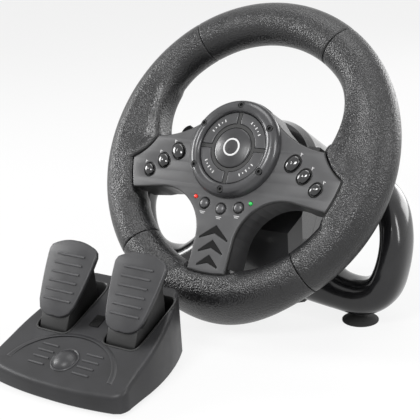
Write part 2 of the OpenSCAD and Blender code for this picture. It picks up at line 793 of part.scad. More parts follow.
module housing_front_shell() {
    color([0.07, 0.07, 0.075]) placed() difference() {
        intersection() {
            housing_walls();
            tilted() translate([-100, -200, split_z + 0.15]) cube([200, 300, 100]);
        }
        tilted() translate([0, 0, -column_front - 5]) cylinder(r = shaft_r + 3, h = 10);
    }
}

frame_post_places = [for (x = [-25, 25], y = [-14, 14]) [x, y]];
base_screw_places = [for (x = [-41, 41], y = [30, 80]) [x, y]];
socket_w = 34;
socket_h = 15;
socket_z = plate_top + 6;
module housing_rear_shell() {
    color([0.07, 0.07, 0.075]) placed() difference() {
        union() {
            intersection() {
                housing_walls();
                tilted() translate([-100, -200, split_z - 0.15 - 200]) cube([200, 300, 200]);
            }
            tilted() for (place = frame_post_places)
                translate([place[0], place[1], -column_back + 1])
                    cylinder(r = 4, h = bearing_z[1] - frame_plate_t - touch_gap + column_back - 1, $fn = 32);
            for (place = base_screw_places) translate([place[0], place[1], plate_top])
                cylinder(r = 4.5, h = 12, $fn = 32);
        }
        for (place = base_screw_places) translate([place[0], place[1], plate_top - 1])
            cylinder(r = 1.5, h = 11, $fn = 24);
        translate([-socket_w / 2, body_back - shell_wall - 1, socket_z])
            cube([socket_w, shell_wall + 2, socket_h]);
    }
}

module base_plate() {
    color([0.08, 0.08, 0.08]) placed() difference() {
        union() {
            translate([0, 0, foot_gap]) linear_extrude(plate_top - touch_gap - foot_gap) body_plan(0);
            for (place = board_standoffs) translate([place[0], place[1], foot_gap + 1])
                cylinder(r = 2.5, h = main_board_z - touch_gap - foot_gap - 1, $fn = 24);
        }
        for (place = base_screw_places) translate([place[0], place[1], foot_gap - 1])
            cylinder(r = 1.8, h = 6, $fn = 24);
        for (place = base_screw_places) translate([place[0], place[1], foot_gap - 1])
            cylinder(r = 3.4, h = 2.2, $fn = 32);
        for (side = [-1, 1]) translate([side * rear_cup_x, rear_cup_y, foot_gap - 1])
            cylinder(r = cup_stem_r + 0.1, h = 6, $fn = 32);
    }
}

module base_screws() {
    color([0.6, 0.6, 0.62]) placed() for (place = base_screw_places) translate([place[0], place[1], 0]) {
        translate([0, 0, foot_gap - 0.6]) difference() {
            cylinder(r = 3, h = 1.7, $fn = 32);
            translate([0, 0, -0.1]) cylinder(r = 1.3, h = 1, $fn = 6);
        }
        translate([0, 0, foot_gap + 1]) cylinder(r = 1.45, h = 11, $fn = 24);
    }
}

main_board_z = plate_top + 3;
board_standoffs = [for (x = [-30, 30], y = [32, 78]) [x, y]];
module main_circuit_board() {
    color([0.05, 0.3, 0.15]) placed() {
        translate([-34, 28, main_board_z]) cube([68, 54, 1.6]);
        translate([-10, 44, main_board_z + 1.5]) cube([14, 14, 2]);
        translate([14, 36, main_board_z + 1.5]) cylinder(r = 4, h = 9, $fn = 32);
        translate([-26, 64, main_board_z + 1.5]) cube([9, 6, 5]);
    }
}

// Panel of the base's two sockets, and the pedal unit's one socket.
module cable_sockets() {
    color([0.15, 0.15, 0.16]) placed() {
        difference() {
            translate([-socket_w / 2 + touch_gap, body_back - shell_wall - 9, socket_z + touch_gap])
                cube([socket_w - 2 * touch_gap, shell_wall + 8.4, socket_h - 2 * touch_gap]);
            for (side = [-1, 1]) translate([side * 8 - 5.5, body_back - shell_wall - 7, socket_z + 3.5])
                cube([11, 20, 8]);
        }
        on_pedals() difference() {
            translate([-pedal_socket_w / 2 + touch_gap, pedal_d - pedal_wall - 8, pedal_socket_z + touch_gap])
                cube([pedal_socket_w - 2 * touch_gap, pedal_wall + 7.4, pedal_socket_h - 2 * touch_gap]);
            translate([-5.5, pedal_d - pedal_wall - 6, pedal_socket_z + 2]) cube([11, 20, 8]);
        }
    }
}

// Cups: two under the loops' feet and two under the back of the body.
cup_stem_r = 5;
front_cup = [98, 25];
rear_cup_x = 26;
rear_cup_y = 78;
module suction_cup(stem_top) {
    difference() {
        rotate_extrude() polygon([[0, 0], [cup_r, 0], [cup_r, 1], [cup_r - 3, 2.6], [cup_stem_r + 2, 4.4],
            [cup_stem_r, 5.6], [cup_stem_r, stem_top], [0, stem_top]]);
        translate([0, 0, -28]) sphere(r = 30);
    }
}
module suction_cups() {
    color([0.05, 0.05, 0.05]) placed() for (side = [-1, 1]) {
        translate([side * front_cup[0], front_cup[1], 0]) suction_cup(foot_gap - 0.1);
        translate([side * rear_cup_x, rear_cup_y, 0]) suction_cup(foot_gap + 2.4);
    }
}

// ---- Loops: a flat band swept round each side of the base ----
// Each knot holds the centre line's place, the half thickness of the band and its half depth.
loop_out = base_w / 2;
loop_in_x = body_half_w + touch_gap;
loop_top = hub_height - 34;
loop_knots = [
    [loop_in_x, 66, loop_top - 9, 11, loop_half_depth - 1],
    [72, 61, loop_top, 11, loop_half_depth],
    [loop_out - 39, 51, loop_top - 1, 11, loop_half_depth],
    [loop_out - 20, 41, loop_top - 13, 11, loop_half_depth],
    [loop_out - 11.5, 31, loop_top - 34, 11.5, loop_half_depth],
    [loop_out - 13, 26, foot_gap + 43, 12.5, loop_half_depth],
    [loop_out - 21, 25, foot_gap + 24.5, 14, loop_half_depth],
    [loop_out - 37, 25, foot_gap + 15.3, 14.8, loop_half_depth],
    [80, 27, foot_gap + 15.7, 15, loop_half_depth],
    [62, 30, foot_gap + 20.5, 19.7, loop_half_depth + 2],
    [loop_in_x, 33, foot_gap + 27, 26, loop_half_depth + 4],
];
loop_steps = 3;
loop_sides = 16;

// Smooth curve through the knots.
function spline(p0, p1, p2, p3, t) = 0.5 * (2 * p1 + (p2 - p0) * t + (2 * p0 - 5 * p1 + 4 * p2 - p3) * t * t
    + (3 * p1 - p0 - 3 * p2 + p3) * t * t * t);
function knot(k, i) = k[max(0, min(len(k) - 1, i))];
function smooth_path(k, steps) = concat(
    [for (i = [0 : len(k) - 2], s = [0 : steps - 1])
        spline(knot(k, i - 1), knot(k, i), knot(k, i + 1), knot(k, i + 2), s / steps)],
    [k[len(k) - 1]]);

// Rings of the band: flat across its depth, rounded at both edges.
function flat_round(v) = sign(v) * pow(abs(v), 0.8);
function band_ring(path, i, sides) = let (
    last = len(path) - 1,
    before = path[max(0, i - 1)],
    after = path[min(last, i + 1)],
    dx = i == 0 ? 1 : i == last ? -1 : after[0] - before[0],
    dz = i == 0 || i == last ? 0 : after[2] - before[2],
    size = norm([dx, dz]),
    across = [dz / size, 0, -dx / size],
    c = path[i]
) [for (j = [0 : sides - 1]) let (a = 360 * j / sides)
    [c[0], c[1], c[2]] + across * c[3] * flat_round(cos(a)) + [0, c[4] * flat_round(sin(a)), 0]];

module swept_band(knots, steps, sides) {
    path = smooth_path(knots, steps);
    last = len(path) - 1;
    points = [for (i = [0 : last]) each band_ring(path, i, sides)];
    walls = [for (i = [0 : last - 1], j = [0 : sides - 1]) let (
        a = i * sides + j, b = i * sides + (j + 1) % sides) each [[a, b, b + sides], [a, b + sides, a + sides]]];
    first_end = [[for (j = [sides - 1 : -1 : 0]) j]];
    last_end = [[for (j = [0 : sides - 1]) last * sides + j]];
    polyhedron(points = points, faces = concat(walls, first_end, last_end));
}

module right_loop() {
    color([0.05, 0.05, 0.055]) placed() swept_band(loop_knots, loop_steps, loop_sides);
}
module left_loop() {
    color([0.05, 0.05, 0.055]) placed() mirror([1, 0, 0]) swept_band(loop_knots, loop_steps, loop_sides);
}

// ---- Paddles ----
hinge_gap = 0.35;
paddle_t = 4;
module paddle() {
    low = ear_y[0] + ear_t + hinge_gap;
    high = ear_y[1] - hinge_gap;
    difference() {
        union() {
            translate([paddle_pivot_x, high, paddle_z]) rotate([90, 0, 0])
                cylinder(r = 3.6, h = high - low, $fn = 32);
            translate([0, 0, paddle_z - paddle_t / 2]) linear_extrude(paddle_t) union() {
                translate([paddle_pivot_x, low]) square([12, high - low]);
                hull() {
                    translate([paddle_pivot_x + paddle_reach - 9, 25]) circle(r = 9, $fn = 32);
                    translate([paddle_pivot_x + 13, 22]) circle(r = 7, $fn = 32);
                    translate([paddle_pivot_x + paddle_reach - 8, -10]) circle(r = 8, $fn = 32);
                    translate([paddle_pivot_x + 12, -14]) circle(r = 4, $fn = 32);
                }
            }
        }
        translate([paddle_pivot_x, high + 1, paddle_z]) rotate([90, 0, 0])
            cylinder(r = paddle_pin_r + running_gap, h = high - low + 2, $fn = 32);
    }
}
module right_paddle() {
    color([0.04, 0.04, 0.04]) on_wheel() paddle();
}
module left_paddle() {
    color([0.04, 0.04, 0.04]) on_wheel() mirror([1, 0, 0]) paddle();
}
module paddle_pins() {
    color([0.7, 0.7, 0.72]) on_wheel() both_sides()
        translate([paddle_pivot_x, ear_y[1] + ear_t + 0.5, paddle_z]) rotate([90, 0, 0])
            cylinder(r = paddle_pin_r, h = ear_y[1] - ear_y[0] + ear_t + 1, $fn = 32);
}

// ---- Pedal unit ----
// Front centre of the unit, seen from the wheel's centre.
pedal_x = -42;
pedal_y = -204;
pedal_wall = 2.5;
pedal_under = 2;
pedal_taper = 0.66;
front_bow = 6;
pedal_socket_w = 15;
pedal_socket_h = 12;
pedal_socket_z = pedal_under + 8;
module on_pedals() {
    translate([pedal_x, pedal_y, 0]) children();
}

// Arc through three points, as n steps.
function circle_centre(a, b, c) = let (
    d = 2 * (a[0] * (b[1] - c[1]) + b[0] * (c[1] - a[1]) + c[0] * (a[1] - b[1])),
    aa = a * a, bb = b * b, cc = c * c
) [(aa * (b[1] - c[1]) + bb * (c[1] - a[1]) + cc * (a[1] - b[1])) / d,
    (aa * (c[0] - b[0]) + bb * (a[0] - c[0]) + cc * (b[0] - a[0])) / d];
function arc3(a, b, c, n) = let (
    m = circle_centre(a, b, c),
    r = norm(a - m),
    a0 = atan2(a[1] - m[1], a[0] - m[0]),
    mid = swing(a0, atan2(b[1] - m[1], b[0] - m[0])),
    rest = swing(a0 + mid, atan2(c[1] - m[1], c[0] - m[0]))
) [for (i = [0 : n]) m + r * [cos(a0 + (mid + rest) * i / n), sin(a0 + (mid + rest) * i / n)]];

// Plan of the pedal unit: bowed front, round corners, and sides that draw in towards the back.
module pedal_plan(inset) {
    half = pedal_w / 2 - inset;
    back_half = pedal_w / 2 * pedal_taper - inset;
    front = inset;
    back = pedal_d - inset;
    right = concat(
        arc3([0, front], [half * 0.5, front + 1.4], [half * 0.9, front + front_bow * 0.9], 6),
        arc3([half * 0.97, front + front_bow * 1.3], [half, front + 12], [half, front + 18], 4),
        arc3([half * 0.985, pedal_d * 0.3], [half * 0.92, pedal_d * 0.6], [back_half + 4, back - 8], 6),
        arc3([back_half + 1.6, back - 3], [back_half - 1, back - 0.8], [back_half - 6, back], 3));
    left = [for (i = [len(right) - 1 : -1 : 1]) [-right[i][0], right[i][1]]];
    polygon(concat(right, left));
}

function pedal_top(v) = pedal_front_h + v * tan(pedal_slope);

// Everything below the sloping top, lowered by drop.
module under_slope(drop) {
    translate([-100, 0, pedal_front_h - drop]) rotate([pedal_slope, 0, 0])
        translate([0, -50, -150]) cube([200, 250, 150]);
}

slot_w = 33;
slot_front = 46;
slot_back = 101;
pad_sides = [-1, 1];
module pedal_base_shell() {
    color([0.25, 0.25, 0.26]) placed() on_pedals() difference() {
        intersection() {
            translate([0, 0, pedal_under]) linear_extrude(90) pedal_plan(0);
            under_slope(0);
        }
        intersection() {
            translate([0, 0, pedal_under - 1]) linear_extrude(90) pedal_plan(pedal_wall);
            under_slope(pedal_wall);
        }
        for (side = pad_sides) translate([side * pad_spacing / 2 - slot_w / 2, slot_front, pedal_under + 8])
            cube([slot_w, slot_back - slot_front, 90]);
        translate([-pedal_socket_w / 2, pedal_d - pedal_wall - 2, pedal_socket_z])
            cube([pedal_socket_w, pedal_wall + 4, pedal_socket_h]);
    }
}

pivot_v = 52;
pivot_z = 20;
pedal_pin_r = 2.5;
hub_half = 12;
post_t = 4;
module pedal_base_plate() {
    plate_z = pedal_under + 0.4;
    color([0.1, 0.1, 0.1]) placed() on_pedals() difference() {
        union() {
            translate([0, 0, plate_z]) linear_extrude(2.4) pedal_plan(pedal_wall + touch_gap);
            for (side = pad_sides, end = [-1, 1])
                translate([side * pad_spacing / 2 + end * (hub_half + 0.4 + post_t / 2) - post_t / 2,
                    pivot_v - 5, plate_z + 1]) cube([post_t, 10, pivot_z + 4 - plate_z]);
        }
        for (side = pad_sides) translate([side * pad_spacing / 2 - 25, pivot_v, pivot_z])
            rotate([0, 90, 0]) cylinder(r = pedal_pin_r + 0.02, h = 50, $fn = 32);
    }
}

module pedal_pins() {
    color([0.7, 0.7, 0.72]) placed() on_pedals() for (side = pad_sides)
        translate([side * pad_spacing / 2 - hub_half - 0.4 - post_t, pivot_v, pivot_z])
            rotate([0, 90, 0]) cylinder(r = pedal_pin_r, h = 2 * (hub_half + 0.4 + post_t), $fn = 32);
}

// Outline of a pad in its own plane: narrow rounded foot, widest near the top, bowed top edge.
module pad_plan(grow) {
    half = pad_w / 2 + grow;
    right = concat(
        arc3([0, -grow], [half * 0.35, 0.3 - grow], [half * 0.62, pad_len * 0.07], 4),
        arc3([half * 0.74, pad_len * 0.17], [half * 0.92, pad_len * 0.55], [half, pad_len * 0.84], 5),
        arc3([half * 0.93, pad_len * 0.905], [half * 0.5, pad_len * 0.978], [0, pad_len + grow], 5));
    left = [for (i = [len(right) - 2 : -1 : 1]) [-right[i][0], right[i][1]]];
    polygon(concat(right, left));
}

pad_t = 3.4;
pad_foot_v = 52;
pad_foot_z = pedal_top(pad_foot_v) + 7;
module on_pad() {
    translate([0, pad_foot_v, pad_foot_z]) rotate([pad_tilt, 0, 0]) children();
}
rib_count = 6;
rib_pitch = pad_len * 0.118;
lever_half = 13;
module pedal() {
    on_pad() {
        linear_extrude(pad_t) pad_plan(0);
        for (i = [0 : rib_count - 1]) translate([-pad_w * 0.29, pad_len * 0.2 + i * rib_pitch, pad_t - 0.1])
            cube([pad_w * 0.58, 1.3, 0.7]);
    }
    difference() {
        union() {
            // side profile of the lever in the unit's length and height
            rotate([90, 0, 90]) translate([0, 0, -lever_half]) linear_extrude(2 * lever_half)
                polygon(lever_profile);
            translate([-hub_half, pivot_v, pivot_z]) rotate([0, 90, 0])
                cylinder(r = 6, h = 2 * hub_half, $fn = 32);
        }
        translate([-hub_half - 5, pivot_v, pivot_z]) rotate([0, 90, 0])
            cylinder(r = pedal_pin_r + running_gap, h = 2 * hub_half + 10, $fn = 32);
        // room for the return spring between the two halves of the hub
        translate([-spring_half - 0.4, pivot_v - 8, pivot_z - 8]) cube([2 * spring_half + 0.8, 14.4, 15.4]);
        for (end = [-1, 1]) translate([end > 0 ? hub_half : -hub_half - 6, pivot_v - 12, pivot_z - 12])
            cube([6, 24, 24]);
    }
}
pad_up = [cos(pad_tilt), sin(pad_tilt)];
lever_profile = [
    [pivot_v - 5, pivot_z - 2],
    [pivot_v - 5, pivot_z + 6],
    [pad_foot_v + 3 * pad_up[0] - 1.2, pad_foot_z + 3 * pad_up[1]],
    [pad_foot_v + 46 * pad_up[0] - 1.2, pad_foot_z + 46 * pad_up[1]],
    [pad_foot_v + 46 * pad_up[0] + 7, pad_foot_z + 46 * pad_up[1] - 7],
    [pivot_v + 34, pivot_z + 22],
    [pivot_v + 30, pivot_z + 8],
    [pivot_v + 4, pivot_z - 5],
];

module left_pedal() {
    color([0.24, 0.24, 0.25]) placed() on_pedals() translate([-pad_spacing / 2, 0, 0]) pedal();
}
module right_pedal() {
    color([0.24, 0.24, 0.25]) placed() on_pedals() translate([pad_spacing / 2, 0, 0]) pedal();
}

// Return springs: coils round the pins, shown by their closed outer shape.
spring_half = 5;
module pedal_springs() {
    color([0.55, 0.55, 0.57]) placed() on_pedals() for (side = pad_sides)
        translate([side * pad_spacing / 2 - spring_half, pivot_v, pivot_z]) rotate([0, 90, 0]) difference() {
            cylinder(r = 5, h = 2 * spring_half, $fn = 32);
            translate([0, 0, -1]) cylinder(r = pedal_pin_r + 0.3, h = 2 * spring_half + 2, $fn = 32);
        }
}

module pedal_sensors() {
    sensor_x = hub_half + 0.4 + post_t + touch_gap;
    color([0.2, 0.25, 0.35]) placed() on_pedals() for (side = pad_sides)
        translate([side * (pad_spacing / 2 - sensor_x), pivot_v, pivot_z]) rotate([0, side > 0 ? -90 : 90, 0])
            cylinder(r = 5.5, h = 4, $fn = 32);
}

module pedal_badge() {
    badge_v = 64;
    color([0.02, 0.02, 0.02]) placed() on_pedals()
        translate([0, badge_v, pedal_top(badge_v)]) rotate([pedal_slope, 0, 0])
            translate([-4.5, -6, 0]) cube([9, 12, 0.7]);
}

module pedal_feet() {
    color([0.05, 0.05, 0.05]) placed() on_pedals()
        for (place = [[-48, 20], [48, 20], [-33, pedal_d - 18], [33, pedal_d - 18]])
            translate([place[0], place[1], 0]) cylinder(r = 7, h = pedal_under + 0.1, $fn = 40);
}

wheel_frame();
wheel_back_cover();
face_plate();
rim_top_cover();
left_grip();
right_grip();
rim_bottom_cover();
hub_bezel();
bezel_bolts();
hub_divider();
hub_cap();
red_led();
green_led();
chevron_inlays();
wheel_circuit_board();
steering_shaft();
shaft_bolt();
drive_gear();
rumble_motors();
wheel_screws();
paddle_pins();
hub_button_upper_right();
hub_button_upper_left();
hub_button_lower_left();
hub_button_lower_right();
left_button_inner();
left_button_middle();
left_button_outer();
right_button_inner();
right_button_middle();
right_button_outer();
small_button_left();
small_button_centre();
small_button_right();
left_paddle();
right_paddle();
housing_front_shell();
housing_rear_shell();
base_plate();
left_loop();
right_loop();
column_frame();
shaft_bearings();
sensor_gear();
angle_sensor();
centring_spring();
rubber_stops();
main_circuit_board();
cable_sockets();
suction_cups();
base_screws();
pedal_base_shell();
pedal_base_plate();
pedal_badge();
left_pedal();
right_pedal();
pedal_pins();
pedal_springs();
pedal_sensors();
pedal_feet();
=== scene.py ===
"""Racing wheel with paddles, looped base and a two-pedal unit: the finished look over the fixed frame."""

import logging
import math
from dataclasses import dataclass, field
from enum import Enum
from typing import Sequence

import bmesh
import bpy
from mathutils import Matrix, Quaternion, Vector


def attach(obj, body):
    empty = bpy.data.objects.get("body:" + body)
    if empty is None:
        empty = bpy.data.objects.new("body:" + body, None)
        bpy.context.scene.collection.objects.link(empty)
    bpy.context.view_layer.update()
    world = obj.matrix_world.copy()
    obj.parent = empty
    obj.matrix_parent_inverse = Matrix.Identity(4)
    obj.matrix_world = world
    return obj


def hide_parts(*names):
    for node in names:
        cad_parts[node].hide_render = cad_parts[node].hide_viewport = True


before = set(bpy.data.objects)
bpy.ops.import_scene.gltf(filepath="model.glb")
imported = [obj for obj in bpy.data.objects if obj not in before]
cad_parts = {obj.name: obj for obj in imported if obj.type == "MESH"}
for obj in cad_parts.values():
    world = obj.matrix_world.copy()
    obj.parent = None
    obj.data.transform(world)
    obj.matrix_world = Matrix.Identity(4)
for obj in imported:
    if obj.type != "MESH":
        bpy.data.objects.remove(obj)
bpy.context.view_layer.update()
LOG = logging.getLogger("racing_wheel")

MM = 0.001
LEAN = math.radians(32.0)
WHEEL = (Matrix.Translation((0.0, 0.0356, 0.14198)) @ Matrix.Rotation(math.pi / 2 - LEAN, 4, "X")
         @ Matrix.Scale(MM, 4))
BASE = Matrix.Translation((0.0, 0.0356, 0.0)) @ Matrix.Scale(MM, 4)
PEDALS = Matrix.Translation((-0.042, -0.1684, 0.0)) @ Matrix.Scale(MM, 4)

Point2 = tuple[float, float]
Point3 = tuple[float, float, float]
Ring = list[Point3]


# ---- Finishes ----
class Surface(Enum):
    """How a finish is grained."""

    LEATHER = "leather"
    MOULDED = "moulded"
    GLOSS = "gloss"
    METAL = "metal"
    RUBBER = "rubber"
    BOARD = "board"
    LAMP = "lamp"


class SharedGroups:
    """Shader node groups that several finishes place with their own values."""

    @staticmethod
    def start(name: str, inputs: Sequence[tuple[str, str, object]],
              outputs: Sequence[tuple[str, str]]) -> bpy.types.NodeTree:
        """Make an empty group with its sockets.

        Args:
            name: name of the group.
            inputs: name, socket type and default value of each input.
            outputs: name and socket type of each output.

        Returns:
            The new node tree.
        """
        tree = bpy.data.node_groups.new(name, "ShaderNodeTree")
        for label, kind, value in inputs:
            socket = tree.interface.new_socket(name=label, in_out="INPUT", socket_type=kind)
            socket.default_value = value
        for label, kind in outputs:
            tree.interface.new_socket(name=label, in_out="OUTPUT", socket_type=kind)
        return tree

    @classmethod
    def tone(cls) -> bpy.types.NodeTree:
        """Give the group that varies colour and roughness and lightens worn edges.

        Returns:
            The node tree, built once.
        """
        found = bpy.data.node_groups.get("tone_and_wear")
        if found:
            return found
        tree = cls.start("tone_and_wear", [
            ("Colour", "NodeSocketColor", (0.1, 0.1, 0.1, 1.0)),
            ("Second Colour", "NodeSocketColor", (0.12, 0.12, 0.12, 1.0)),
            ("Wear Colour", "NodeSocketColor", (0.3, 0.3, 0.3, 1.0)),
            ("Mottle Scale", "NodeSocketFloat", 60.0),
            ("Smoothest", "NodeSocketFloat", 0.3),
            ("Roughest", "NodeSocketFloat", 0.45),
            ("Wear", "NodeSocketFloat", 0.2),
        ], [("Colour", "NodeSocketColor"), ("Roughness", "NodeSocketFloat")])
        nodes, links = tree.nodes, tree.links
        source = nodes.new("NodeGroupInput")
        result = nodes.new("NodeGroupOutput")
        coords = nodes.new("ShaderNodeTexCoord")
        mottle = nodes.new("ShaderNodeTexNoise")
        mottle.inputs["Detail"].default_value = 5.0
        links.new(coords.outputs["Object"], mottle.inputs["Vector"])
        links.new(source.outputs["Mottle Scale"], mottle.inputs["Scale"])
        spread = nodes.new("ShaderNodeMapRange")
        spread.inputs["From Min"].default_value = 0.32
        spread.inputs["From Max"].default_value = 0.68
        links.new(mottle.outputs["Fac"], spread.inputs["Value"])
        blend = nodes.new("ShaderNodeMix")
        blend.data_type = "RGBA"
        links.new(spread.outputs["Result"], blend.inputs["Factor"])
        links.new(source.outputs["Colour"], blend.inputs["A"])
        links.new(source.outputs["Second Colour"], blend.inputs["B"])
        point = nodes.new("ShaderNodeNewGeometry")
        edge = nodes.new("ShaderNodeMapRange")
        edge.inputs["From Min"].default_value = 0.53
        edge.inputs["From Max"].default_value = 0.62
        links.new(point.outputs["Pointiness"], edge.inputs["Value"])
        amount = nodes.new("ShaderNodeMath")
        amount.operation = "MULTIPLY"
        links.new(edge.outputs["Result"], amount.inputs[0])
        links.new(source.outputs["Wear"], amount.inputs[1])
        worn = nodes.new("ShaderNodeMix")
        worn.data_type = "RGBA"
        links.new(amount.outputs["Value"], worn.inputs["Factor"])
        links.new(blend.outputs["Result"], worn.inputs["A"])
        links.new(source.outputs["Wear Colour"], worn.inputs["B"])
        links.new(worn.outputs["Result"], result.inputs["Colour"])
        rough = nodes.new("ShaderNodeMapRange")
        links.new(spread.outputs["Result"], rough.inputs["Value"])
        links.new(source.outputs["Smoothest"], rough.inputs["To Min"])
        links.new(source.outputs["Roughest"], rough.inputs["To Max"])
        links.new(rough.outputs["Result"], result.inputs["Roughness"])
        return tree

    @classmethod
    def pebbles(cls) -> bpy.types.NodeTree:
        """Give the group that draws a pebbled leather grain and a mask of the creases between the pebbles, used for
        painted shade.

        Returns:
            The node tree, built once.
        """
        found = bpy.data.node_groups.get("pebble_grain_and_crease_shade")
        if found:
            return found
        tree = cls.start("pebble_grain_and_crease_shade", [("Scale", "NodeSocketFloat", 600.0)],
                         [("Height", "NodeSocketFloat"), ("Painted Shade Mask", "NodeSocketFloat")])
        nodes, links = tree.nodes, tree.links
        source = nodes.new("NodeGroupInput")
        result = nodes.new("NodeGroupOutput")
        coords = nodes.new("ShaderNodeTexCoord")
        warp = nodes.new("ShaderNodeTexNoise")
        warp.inputs["Scale"].default_value = 240.0
        links.new(coords.outputs["Object"], warp.inputs["Vector"])
        shift = nodes.new("ShaderNodeVectorMath")
        shift.operation = "MULTIPLY_ADD"
        shift.inputs[1].default_value = (0.0012, 0.0012, 0.0012)
        links.new(warp.outputs["Color"], shift.inputs[0])
        links.new(coords.outputs["Object"], shift.inputs[2])
        cells = nodes.new("ShaderNodeTexVoronoi")
        cells.feature = "SMOOTH_F1"
        cells.inputs["Smoothness"].default_value = 0.35
        links.new(shift.outputs["Vector"], cells.inputs["Vector"])
        links.new(source.outputs["Scale"], cells.inputs["Scale"])
        dome = nodes.new("ShaderNodeMapRange")
        dome.inputs["From Min"].default_value = 0.15
        dome.inputs["From Max"].default_value = 0.85
        dome.inputs["To Min"].default_value = 1.0
        dome.inputs["To Max"].default_value = 0.0
        links.new(cells.outputs["Distance"], dome.inputs["Value"])
        links.new(dome.outputs["Result"], result.inputs["Height"])
        # The crease mask is used to paint shade into the valleys between the pebbles.
        crease = nodes.new("ShaderNodeMath")
        crease.operation = "SUBTRACT"
        crease.inputs[0].default_value = 1.0
        links.new(dome.outputs["Result"], crease.inputs[1])
        links.new(crease.outputs["Value"], result.inputs["Painted Shade Mask"])
        return tree

    @classmethod
    def fine_grain(cls) -> bpy.types.NodeTree:
        """Give the group that draws an even fine texture.

        Returns:
            The node tree, built once.
        """
        found = bpy.data.node_groups.get("fine_grain")
        if found:
            return found
        tree = cls.start("fine_grain", [("Scale", "NodeSocketFloat", 1500.0), ("Stretch", "NodeSocketFloat", 1.0)],
                         [("Height", "NodeSocketFloat")])
        nodes, links = tree.nodes, tree.links
        source = nodes.new("NodeGroupInput")
        result = nodes.new("NodeGroupOutput")
        coords = nodes.new("ShaderNodeTexCoord")
        join = nodes.new("ShaderNodeCombineXYZ")
        join.inputs["Y"].default_value = 1.0
        join.inputs["Z"].default_value = 1.0
        links.new(source.outputs["Stretch"], join.inputs["X"])
        pull = nodes.new("ShaderNodeVectorMath")
        pull.operation = "MULTIPLY"
        links.new(coords.outputs["Object"], pull.inputs[0])
        links.new(join.outputs["Vector"], pull.inputs[1])
        noise = nodes.new("ShaderNodeTexNoise")
        noise.inputs["Detail"].default_value = 3.0
        links.new(pull.outputs["Vector"], noise.inputs["Vector"])
        links.new(source.outputs["Scale"], noise.inputs["Scale"])
        links.new(noise.outputs["Fac"], result.inputs["Height"])
        return tree


@dataclass(frozen=True)
class Finish:
    """One finish: its colours, gloss and grain."""

    name: str
    slot: str
    surface: Surface
    colour: Point3
    second: Point3
    smoothest: float = 0.3
    roughest: float = 0.42
    wear: float = 0.2
    grain_scale: float = 1500.0
    grain_depth: float = 0.00002
    coat: float = 0.0
    metallic: float = 0.0
    glow: float = 0.0
    stretch: float = 1.0
    specular: float = 0.5

    def material(self) -> bpy.types.Material:
        """Build the material, or give the one built before.

        Returns:
            The material of this finish.
        """
        found = bpy.data.materials.get(self.name)
        if found:
            return found
        material = bpy.data.materials.new(self.name)
        material.use_nodes = True
        nodes, links = material.node_tree.nodes, material.node_tree.links
        shader = nodes["Principled BSDF"]
        tone = nodes.new("ShaderNodeGroup")
        tone.node_tree = SharedGroups.tone()
        tone.inputs["Colour"].default_value = (*self.colour, 1.0)
        tone.inputs["Second Colour"].default_value = (*self.second, 1.0)
        lift = [min(1.0, 2.0 * c + 0.05) for c in self.second]
        tone.inputs["Wear Colour"].default_value = (*lift, 1.0)
        tone.inputs["Smoothest"].default_value = self.smoothest
        tone.inputs["Roughest"].default_value = self.roughest
        tone.inputs["Wear"].default_value = self.wear
        grain = nodes.new("ShaderNodeGroup")
        colour = tone.outputs["Colour"]
        if self.surface is Surface.LEATHER:
            grain.node_tree = SharedGroups.pebbles()
            # Painted shade: the creases between the pebbles are darkened to 45 per cent.
            shade = nodes.new("ShaderNodeMix")
            shade.data_type = "RGBA"
            shade.blend_type = "MULTIPLY"
            shade.inputs["B"].default_value = (0.45, 0.45, 0.45, 1.0)
            links.new(grain.outputs["Painted Shade Mask"], shade.inputs["Factor"])
            links.new(colour, shade.inputs["A"])
            colour = shade.outputs["Result"]
        else:
            grain.node_tree = SharedGroups.fine_grain()
            grain.inputs["Stretch"].default_value = self.stretch
        grain.inputs["Scale"].default_value = self.grain_scale
        bump = nodes.new("ShaderNodeBump")
        bump.inputs["Distance"].default_value = self.grain_depth
        bump.inputs["Strength"].default_value = 1.0
        links.new(grain.outputs["Height"], bump.inputs["Height"])
        links.new(bump.outputs["Normal"], shader.inputs["Normal"])
        links.new(colour, shader.inputs["Base Color"])
        links.new(tone.outputs["Roughness"], shader.inputs["Roughness"])
        shader.inputs["Metallic"].default_value = self.metallic
        shader.inputs["Coat Weight"].default_value = self.coat
        shader.inputs["Coat Roughness"].default_value = 0.08
        shader.inputs["Specular IOR Level"].default_value = self.specular
        if self.glow > 0.0:
            links.new(colour, shader.inputs["Emission Color"])
            shader.inputs["Emission Strength"].default_value = self.glow
        return material

    def dress(self, piece: bpy.types.Object) -> None:
        """Put the finish on a piece.

        Args:
            piece: the object to dress.
        """
        if piece.data.materials:
            for index in range(len(piece.data.materials)):
                piece.data.materials[index] = self.material()
        else:
            piece.data.materials.append(self.material())


